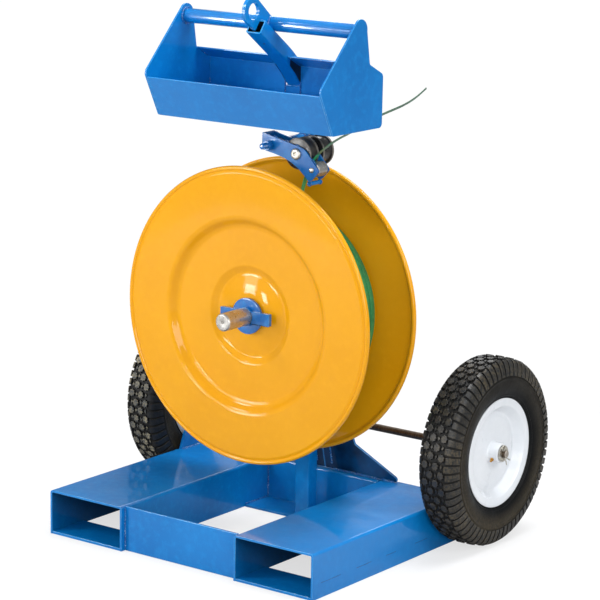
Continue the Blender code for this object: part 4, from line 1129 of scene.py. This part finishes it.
# ------------------------------------------------------------ wound strap
COIL_INNER, COIL_OUTER = 0.2079, 0.2150
# how far each row of strap lies under the outer radius
ROW_DROPS = [0.0, 0.0007, 0.0003, 0.0009, 0.0002, 0.0006, 0.0001, 0.0008, 0.0004, 0.0009,
             0.0003, 0.0006]
ROW_EDGE = ((0.0014, 0.0001), (0.0003, 0.0004), (0.0, 0.0012))   # (drop, inset) of an edge


def coil_profile(half):
    row_width = 2 * half / len(ROW_DROPS)
    profile = [(COIL_INNER, half - 0.0004), (COIL_INNER + 0.0010, half)]
    for k, row_drop in enumerate(ROW_DROPS):
        top = COIL_OUTER - row_drop
        end, start = half - k * row_width, half - (k + 1) * row_width
        profile += [(top - drop, end - inset) for drop, inset in ROW_EDGE]
        profile += [(top - drop, start + inset) for drop, inset in reversed(ROW_EDGE)]
    return profile + [(COIL_INNER + 0.0010, -half), (COIL_INNER, -half + 0.0004)]


def coil_wobble(radius, along, angle):
    dip = 0.0004 * (1 + math.sin(7 * angle + along * 90)) if radius > 0.2125 else 0
    return radius - dip, along


low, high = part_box("strap_coil")
lathe("strap_wound_coil", coil_profile((high.y - low.y) / 2), 180,
      (0, (low.y + high.y) / 2, REEL.z), Y, COIL, "reel", "strap_coil", smooth=50,
      wobble=coil_wobble)

# ------------------------------------------------------------ mandrel and collars
REEL_AXIS = (0, 0, REEL.z)
# (radius, forward from the datum, corner radius), with a shallow groove in the end face
MANDREL = [(0, 0.1550, 0), (0.0015, 0.1550, 0), (0.0030, 0.1535, 0), (0.0034, 0.1550, 0.0002),
           (0.0165, 0.1550, 0.0006), (0.01905, 0.1522, 0.0006), (0.01905, -0.1296, 0.0006),
           (0, -0.1296, 0)]
WING_HALF_LONG, WING_HALF_HIGH, WING_T, WING_BORE_R = 0.0645, 0.0132, 0.0090, 0.0198

lathe("mandrel_bar", rounded(MANDREL, seg=3), 64, REEL, -Y, TURNED, replaces="mandrel")
low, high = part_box("mandrel_stop_collar")
lathe("stop_collar_ring", sleeve(0.0197, 0.0320, low.y, high.y, 0.0010), 56, REEL_AXIS, Y,
      BLUE, replaces="mandrel_stop_collar")
weld("weld_stop_collar", hoop(Vector((0, low.y - 0.0006, REEL.z)), 0.0205, 40), 0.0018,
     seed=41, closed=True)
low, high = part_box("thrust_washer")
lathe("thrust_ring", sleeve(0.0199, 0.0330, low.y, high.y, 0.0004), 56, REEL_AXIS, Y, ZINC,
      "thrust_washer", "thrust_washer")

# locking collar: a ring behind and a bar across the front
low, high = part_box("wing_collar")
lathe("wing_collar_ring", sleeve(WING_BORE_R, 0.0385, -high.y, -high.y + 0.0065, 0.0008), 72,
      REEL_AXIS, -Y, BLUE_THICK, "wing_collar", "wing_collar")
wing_outline = rounded([(-WING_HALF_LONG, -WING_HALF_HIGH), (WING_HALF_LONG, -WING_HALF_HIGH),
                        (WING_HALF_LONG, WING_HALF_HIGH), (-WING_HALF_LONG, WING_HALF_HIGH)],
                       0.0022, 5)
slab("wing_collar_bar", wing_outline, WING_T, "Y", Vector((0, low.y + WING_T / 2, REEL.z)),
     THICK_ENAMEL, "wing_collar", holes=[circle(WING_BORE_R, 56)], bevel=0.0012)
for edge, tag in ((-1, "low"), (1, "high")):
    weld("weld_wing_" + tag, [(x, low.y + WING_T - 0.0004,
                               REEL.z + edge * (WING_HALF_HIGH + 0.0004))
                              for x in (-0.034, -0.01, 0.012, 0.034)],
         0.0018, seed=44, body="wing_collar")

# ------------------------------------------------------------ guide arm
# front view of a cheek (x, z, corner radius)
CHEEK = [
    (-0.0110, 0.8720, 0.0060), (0.0900, 0.8500, 0.0080), (0.1010, 0.8455, 0.0080),
    (0.1360, 0.8055, 0.0030), (0.1345, 0.8010, 0.0020), (0.1180, 0.7835, 0.0030),
    (0.1105, 0.7818, 0.0030), (0.1003, 0.7916, 0.010), (0.0831, 0.8066, 0.020),
    (0.0631, 0.8179, 0.020), (0.0474, 0.8240, 0.020), (0.0218, 0.8300, 0.020),
    (-0.0110, 0.8360, 0.0060)]
CHEEK_T = 0.0040
# short beads along the upper edge of the front cheek (x, z, fall)
EDGE_BEADS = ((0.018, 0.8672, 0.0022), (0.047, 0.8610, 0.0022), (0.074, 0.8545, 0.0022),
              (0.118, 0.8290, 0.0116))
GUIDE_ROD_X, GUIDE_ROD_Z, GUIDE_ROD_R = 0.1135, 0.7768, 0.0045

cheek_holes = [circle(0.0068, 32, PIVOT.x, PIVOT.z), circle(0.0044, 24, SPOOL.x, SPOOL.z),
               circle(0.0034, 24, ROLLER.x, ROLLER.z)]
for end, y in (("front", -0.0110), ("rear", 0.0250)):
    slab("arm_cheek_" + end, rounded(CHEEK, seg=6), CHEEK_T, "Y", cart(0, y, 0), THICK_ENAMEL,
         "guide_arm", "arm_plate_" + end, cheek_holes, 0.0006)
web = rounded([(-0.0110, -0.0128), (-0.0078, -0.0128), (-0.0078, 0.0268), (-0.0110, 0.0268)],
              0.0006, 2)
slab("arm_back_web", web, 0.0350, "Z", cart(0, 0, 0.8540), body="guide_arm", bevel=0.0006)
for k, (x, z, fall) in enumerate(EDGE_BEADS):
    weld(f"arm_edge_bead_{k}", [cart(x, -0.0092, z), cart(x + 0.010, -0.0092, z - fall)],
         0.0011, seed=70 + k, body="guide_arm")
lathe("guide_rod_bar", rod(GUIDE_ROD_R, -0.0270, 0.0130, 0.0008), 32,
      cart(GUIDE_ROD_X, 0, GUIDE_ROD_Z), -Y, BLUE, "guide_arm", "strap_guide_rod")
for end, y in (("front", -0.0128), ("rear", 0.0232)):
    weld("weld_guide_rod_" + end, hoop(cart(GUIDE_ROD_X, y, GUIDE_ROD_Z), GUIDE_ROD_R, 24),
         0.0014, seed=51, body="guide_arm", closed=True)
dress("arm_pivot_sleeve", ZINC, 0.0005)

# ------------------------------------------------------------ arm pivot
PIVOT_BOLT_R, THREAD_ROOT_R, THREAD_PITCH = 0.0063, 0.0057, 0.0012
THREAD_FRONT, THREAD_REAR, PIVOT_BOLT_REAR = 0.0405, 0.0285, -0.1244   # forward from datum


def pivot_bolt_profile():
    profile = [(0, 0.0420), (0.0050, 0.0420), (PIVOT_BOLT_R, 0.0408)]
    along = THREAD_FRONT
    while along > THREAD_REAR:
        profile += [(PIVOT_BOLT_R, along), (THREAD_ROOT_R, along - THREAD_PITCH / 2)]
        along -= THREAD_PITCH
    return profile + [(PIVOT_BOLT_R, along), (PIVOT_BOLT_R, PIVOT_BOLT_REAR),
                      (0, PIVOT_BOLT_REAR)]


def hex_nut(name, hub, across, bore, mats, body, node):
    """Chamfered hexagon nut on a Y axis, as long as its node."""
    low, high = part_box(node)
    middle = Vector((hub.x, (low.y + high.y) / 2, hub.z))
    half, chamfer, sides = (high.y - low.y) / 2, 0.0008, 36
    mesh = bmesh.new()
    axes = square_to(-Y)
    rings = []
    for along, is_end in ((-half, True), (-half + chamfer, False), (half - chamfer, False),
                          (half, True)):
        ring = []
        for k in range(sides):
            angle = TURN * k / sides
            from_flat = (angle + math.pi / 6) % (math.pi / 3) - math.pi / 6
            radius = across / 2 / math.cos(from_flat)
            if is_end:
                radius = min(radius, across / 2 * 1.02) * 0.985
            ring.append(mesh.verts.new(middle - Y * along + spoke(axes, angle) * radius))
        rings.append(ring)
    inner = [vert_ring(mesh, middle - Y * along, axes, bore, sides) for along in (-half, half)]
    bridge_all(mesh, [inner[0]] + rings + [inner[1], inner[0]])
    build(mesh, name, mats, body, node, 28)


lathe("pivot_bolt_shank", pivot_bolt_profile(), 36, PIVOT, -Y, BLUE_THICK,
      replaces="arm_pivot_shaft", smooth=45)
hex_nut("pivot_hex_nut", PIVOT, 0.0190, 0.0066, BLUE_THICK, "frame", "arm_pivot_nut")
low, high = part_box("arm_pivot_spacer")
lathe("pivot_spacer_tube", sleeve(0.0067, 0.0120, low.y, high.y, 0.0008), 36,
      (PIVOT.x, 0, PIVOT.z), Y, BLUE, replaces="arm_pivot_spacer")
weld("weld_pivot_mast", hoop(Vector((PIVOT.x, high.y - 0.0008, PIVOT.z)), 0.0118, 30), 0.0022,
     seed=55, closed=True)

# ------------------------------------------------------------ spools and roller
FLANGE_FACE_R, SPOOL_CORE_R, SPOOL_LIP = 0.0330, 0.0285, 0.0046
# one end of a spool (radius, inset from the end, corner radius)
SPOOL_END = [(0.0048, 0.0012, 0.0003), (0.0100, 0.0012, 0.0006), (0.0120, 0.0, 0.0006),
             (FLANGE_FACE_R, 0.0, 0.0012), (FLANGE_FACE_R, SPOOL_LIP, 0.0012),
             (SPOOL_CORE_R, SPOOL_LIP + 0.0012, 0.0006)]
# (radius, forward from the datum, corner radius)
ROLLER_PROFILE = [(0.0035, 0.0082, 0.0004), (0.0160, 0.0082, 0.0014),
                  (0.0160, -0.0222, 0.0014), (0.0035, -0.0222, 0.0004)]
SPOOL_BOLT = [(0, 0.0162, 0), (0.0034, 0.0162, 0.0003), (0.0042, 0.0186, 0.0004),
              (0.0092, 0.0182, 0.002), (0.0118, 0.0166, 0.001), (0.0122, 0.0134, 0.0002),
              (0.0040, 0.0134, 0), (0.0040, -0.0830, 0.0006), (0, -0.0830, 0)]
ROLLER_PIN = [(0, 0.0166, 0), (0.0036, 0.0163, 0.002), (0.0056, 0.0150, 0.001),
              (0.0058, 0.0134, 0.0003), (0.0030, 0.0134, 0), (0.0030, -0.0305, 0.0005),
              (0, -0.0305, 0)]

for node, rear, front in (("guide_spool_front", -0.0222, 0.0082),
                          ("guide_spool_rear", -0.0750, -0.0380)):
    profile = rounded([(r, front - inset, corner) for r, inset, corner in SPOOL_END]
                      + [(r, rear + inset, corner) for r, inset, corner in SPOOL_END[::-1]],
                      seg=3)
    # painted grey sheen where both ends of a step lie on a flange rim
    lathe(node[6:] + "_moulded", profile, 72, SPOOL, -Y, [SPOOL_BLACK, SPOOL_SHEEN], node, node,
          mat_of=lambda i: int(min(profile[i][0],
                                   profile[(i + 1) % len(profile)][0]) > 0.0316))
lathe("roller_ground", rounded(ROLLER_PROFILE, seg=4), 56, ROLLER, -Y, TURNED, "pinch_roller",
      "pinch_roller")
lathe("spool_bolt_domed", rounded(SPOOL_BOLT, seg=3), 44, SPOOL, -Y, ZINC, "guide_arm",
      "spool_bolt")
hex_nut("spool_hex_nut", SPOOL, 0.0130, 0.0042, ZINC, "guide_arm", "spool_nut")
lathe("roller_pin_rivet", rounded(ROLLER_PIN, seg=3), 32, ROLLER, -Y, ZINC, "guide_arm",
      "pinch_roller_pin")

# ------------------------------------------------------------ strap runs
STRAP_W, STRAP_T, STRAP_COLUMNS, STRAP_STEP = 0.0130, 0.0009, 10, 0.0011
STRAP_Y = 0.0070
# from the coil up to the spool (x, z)
RISE = [(0.0410, 0.7032), (0.0520, 0.7036), (0.0605, 0.7068), (0.0658, 0.7125),
        (0.0692, 0.7200), (0.0735, 0.7320), (0.0785, 0.7480), (0.0842, 0.7680),
        (0.0905, 0.7880), (0.0980, 0.8060), (0.1035, 0.8165), (0.1085, 0.8235),
        (0.1200, 0.8360)]
# from the spool out to the rear (x, y from the datum, z); y was set for some in the frame
RUN_OUT_NEAR = [(0.1180, STRAP_Y + 0.0002, 0.8340), (0.1270, STRAP_Y + 0.0030, 0.8440),
                (0.1400, STRAP_Y + 0.0140, 0.8580)]
RUN_OUT_FAR = [(0.1500, 0.0380, 0.8690), (0.1580, 0.0570, 0.8770), (0.1645, 0.0700, 0.8835),
               (0.1700, 0.0860, 0.8905), (0.1790, 0.1120, 0.9030), (0.1900, 0.1400, 0.9137),
               (0.2110, 0.1800, 0.9295), (0.2270, 0.2020, 0.9450), (0.2416, 0.2200, 0.9645)]
FAR_WAY = Vector((-0.74, 0.58, -0.36)).normalized()    # width direction after the twist
FAR_LEAN = Vector((0.30, 0.10, -0.33)) * 0.55          # added to it


def strap(name, path, width_way, nodes, mat):
    """Flat strap with embossed diamonds; width_way gives its width direction along the run."""
    points = fine(spline(path, 10), STRAP_STEP)
    last = len(points) - 1
    mesh = bmesh.new()
    loops = []
    travelled = 0.0
    for i, point in enumerate(points):
        tangent = (points[min(last, i + 1)] - points[max(0, i - 1)]).normalized()
        across = width_way(i / last)
        across = (across - tangent * across.dot(tangent)).normalized()
        up = tangent.cross(across)
        if i:
            travelled += (point - points[i - 1]).length
        top, bottom = [], []
        for k in range(STRAP_COLUMNS + 1):
            x = (k / STRAP_COLUMNS - 0.5) * STRAP_W
            half = STRAP_T / 2 * (0.5 if k in (0, STRAP_COLUMNS) else 1.0)
            emboss = (0.00011 * math.sin(travelled * 2400 + x * 1900)
                      * math.sin(travelled * 2400 - x * 1900))
            top.append(mesh.verts.new(point + across * x + up * (half + emboss)))
            bottom.append(mesh.verts.new(point + across * x - up * (half - emboss)))
        loops.append(top + bottom[::-1])
    bridge_all(mesh, loops)
    cap_ends(mesh, loops)
    piece = build(mesh, name, mat, body=None, smooth=60)
    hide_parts(*nodes)
    return piece


def run_out_way(along):
    """Level across at the spool, twisted over towards the rear."""
    twist = min(1.0, max(0.0, (along - 0.05) / 0.30))
    twist = twist * twist * (3 - 2 * twist)
    way = (Y * (1 - twist) + FAR_WAY * twist).normalized()
    return (way + FAR_LEAN * twist).normalized()


rise = strap("strap_from_coil",
             [cart(x, STRAP_Y, z) for x, z in arc(0, REEL.z, 0.2158, 121, -39, 12) + RISE],
             lambda along: Y, ("strap_rise", "strap_nip"), STRAP)
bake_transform(rise)
run_out = strap("strap_run_out", [cart(*point) for point in RUN_OUT_NEAR + RUN_OUT_FAR],
                run_out_way, ("strap_tail",), STRAP_FAR)
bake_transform(run_out)

# ------------------------------------------------------------ stage
# azimuth from the front towards the right, height angle and roll, in radians
CAMERA_AZIMUTH, CAMERA_PITCH, CAMERA_ROLL = 0.64004, 0.21615, 0.01577
VIEW_RIGHT = Vector((math.cos(CAMERA_AZIMUTH), math.sin(CAMERA_AZIMUTH), 0))
VIEW_AHEAD = Vector((-math.sin(CAMERA_AZIMUTH), math.cos(CAMERA_AZIMUTH), 0))
SWEEP_R, SWEEP_AT, SWEEP_HALF = 4.0, 7.0, 16       # floor curve, where it starts, half width


def stage_material():
    """Pale paper that glows for the camera away from the cart, to fade into the backdrop."""
    look = Finish("studio_paper")
    col = look.mix(look.mottle(scale=0.7, detail=2, rough=0.5, over=(0.3, 0.7)),
                   (0.80, 0.805, 0.815, 1), (0.83, 0.832, 0.84, 1))
    seen = look.node("LightPath").outputs["Is Camera Ray"]
    col = look.mix(seen, (0.42, 0.42, 0.425, 1), col)
    material = look.done(col, 0.9, look.bump(look.noise(scale=40, detail=3, rough=0.5), 0.0003),
                         specular=0.05)
    x, y, z = look.axes(look.place)
    fade = look.ramp(look.length(x, y), over=(0.50, 1.3), to=(0.66, 1.0))
    glow = look.node("Emission", {"Color": (1, 1, 1, 1), "Strength": 1.02})
    blend = look.node("MixShader", {0: look.times(fade, seen), 1: look.shader.outputs[0],
                                    2: glow.outputs[0]})
    look.feed(look.output.inputs[0], blend.outputs[0])
    return material


def studio_sweep():
    """Floor that curves up into a wall behind the cart."""
    curve = [math.radians(a) for a in range(10, 91, 10)]
    stations = [(-12.0, 0.0), (SWEEP_AT, 0.0)]
    stations += [(SWEEP_AT + SWEEP_R * math.sin(a), SWEEP_R - SWEEP_R * math.cos(a))
                 for a in curve]
    stations.append((SWEEP_AT + SWEEP_R, 12.0))
    mesh = bmesh.new()
    rows = [[mesh.verts.new(VIEW_AHEAD * ahead + VIEW_RIGHT * across + Z * (z - 0.0004))
             for across in (-SWEEP_HALF, SWEEP_HALF)] for ahead, z in stations]
    for a, b in zip(rows, rows[1:]):
        mesh.faces.new((a[0], a[1], b[1], b[0]))
    data = bpy.data.meshes.new("studio_sweep")
    mesh.to_mesh(data)
    mesh.free()
    floor = bpy.data.objects.new("studio_sweep", data)
    data.shade_smooth()
    data.materials.append(stage_material())
    scene.collection.objects.link(floor)
    floor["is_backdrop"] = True


studio_sweep()

# ------------------------------------------------------------ lights
WHITE_LIGHT = (1, 1, 1)
# name, place, aim, width, height, watts, colour
LIGHTS = (
    ("key_soft", (-3.3, -3.4, 4.2), (0, 0, 0.6), 1.3, 1.3, 80, (1.0, 0.985, 0.96)),
    ("strip_long", (-1.45, -3.05, 1.42), (0, -0.1, 0.49), 3.0, 0.20, 34, (1.0, 0.99, 0.97)),
    ("window_left", (-2.16, -3.00, 0.58), (0, -0.16, 0.50), 0.50, 0.52, 12, WHITE_LIGHT),
    ("window_right", (-1.52, -3.36, 0.42), (0, -0.16, 0.50), 0.30, 0.44, 8, WHITE_LIGHT),
    ("fill_right", (3.0, -4.2, 1.7), (0, 0, 0.5), 2.0, 2.0, 66, WHITE_LIGHT),
    ("panel_left", (-2.50, -3.42, 1.25), (0, 0, 1.1), 0.90, 1.30, 16, WHITE_LIGHT),
    ("sheen_left", (-2.70, -3.30, 0.80), (0, 0, 1.1), 2.2, 1.00, 330, WHITE_LIGHT),
    ("side_front", (3.6, -2.2, 1.1), (0, 0, 0.5), 1.4, 1.4, 28, WHITE_LIGHT),
    ("side_soft", (4.2, -0.6, 3.0), (0, 0, 0.5), 2.0, 2.0, 66, WHITE_LIGHT),
    ("top_soft", (0.6, 0.9, 4.6), (0, 0, 0.3), 2.4, 2.4, 195, WHITE_LIGHT),
    ("back_soft", (-2.5, 3.8, 3.0), (0, 0.2, 0.6), 2.0, 2.0, 40, WHITE_LIGHT))

for name, place, aim, width, height, watts, colour in LIGHTS:
    light = bpy.data.lights.new(name, "AREA")
    light.energy = watts
    light.color = colour
    light.shape = "RECTANGLE"
    light.size = width
    light.size_y = height
    lamp = bpy.data.objects.new(name, light)
    scene.collection.objects.link(lamp)
    lamp.location = place
    lamp.rotation_euler = (Vector(aim) - Vector(place)).to_track_quat("-Z", "Y").to_euler()

# the sheen gives a long highlight on the handle and the pivot bolt only
sheen = bpy.data.objects["sheen_left"]
sheen.visible_diffuse = False
sheen_on = bpy.data.collections.new("sheen_on")
for name in ("handle_pipe", "pivot_hex_nut", "pivot_bolt_shank"):
    sheen_on.objects.link(bpy.data.objects[name])
sheen.light_linking.receiver_collection = sheen_on


def studio_world():
    """White to the camera, a dim cool fill for everything else."""
    world = bpy.data.worlds.new("studio_world")
    scene.world = world
    world.use_nodes = True
    tree = world.node_tree
    tree.nodes.clear()
    output = tree.nodes.new("ShaderNodeOutputWorld")
    mix = tree.nodes.new("ShaderNodeMixShader")
    path = tree.nodes.new("ShaderNodeLightPath")
    tree.links.new(path.outputs["Is Camera Ray"], mix.inputs[0])
    for socket, colour, strength in ((2, (1, 1, 1, 1), 1.0), (1, (0.93, 0.97, 1.0, 1), 0.40)):
        background = tree.nodes.new("ShaderNodeBackground")
        background.inputs["Color"].default_value = colour
        background.inputs["Strength"].default_value = strength
        tree.links.new(background.outputs[0], mix.inputs[socket])
    tree.links.new(mix.outputs[0], output.inputs[0])


studio_world()


# ------------------------------------------------------------ camera
def add_camera(lens, distance, aim_z, shift_right, shift_up):
    """Camera aimed at a height over the datum, then slid in its own plane."""
    level, rise = math.cos(CAMERA_PITCH), math.sin(CAMERA_PITCH)
    back = Vector((math.sin(CAMERA_AZIMUTH) * level, -math.cos(CAMERA_AZIMUTH) * level, rise))
    upright = back.cross(VIEW_RIGHT)
    cos, sin = math.cos(CAMERA_ROLL), math.sin(CAMERA_ROLL)
    right = VIEW_RIGHT * cos + upright * sin
    up = -VIEW_RIGHT * sin + upright * cos
    data = bpy.data.cameras.new("camera")
    data.lens = lens
    data.sensor_width = 36
    data.clip_end = 60
    camera = bpy.data.objects.new("camera", data)
    scene.collection.objects.link(camera)
    matrix = Matrix((right, up, back)).transposed().to_4x4()
    matrix.translation = (cart(0, 0, aim_z) + right * shift_right + up * shift_up
                          + back * distance)
    camera.matrix_world = matrix
    scene.camera = camera


add_camera(lens=153.0545, distance=5.4, aim_z=0.5, shift_right=0.067909, shift_up=0.012665)
scene.view_settings.view_transform = "Standard"
scene.view_settings.look = "None"

low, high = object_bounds()
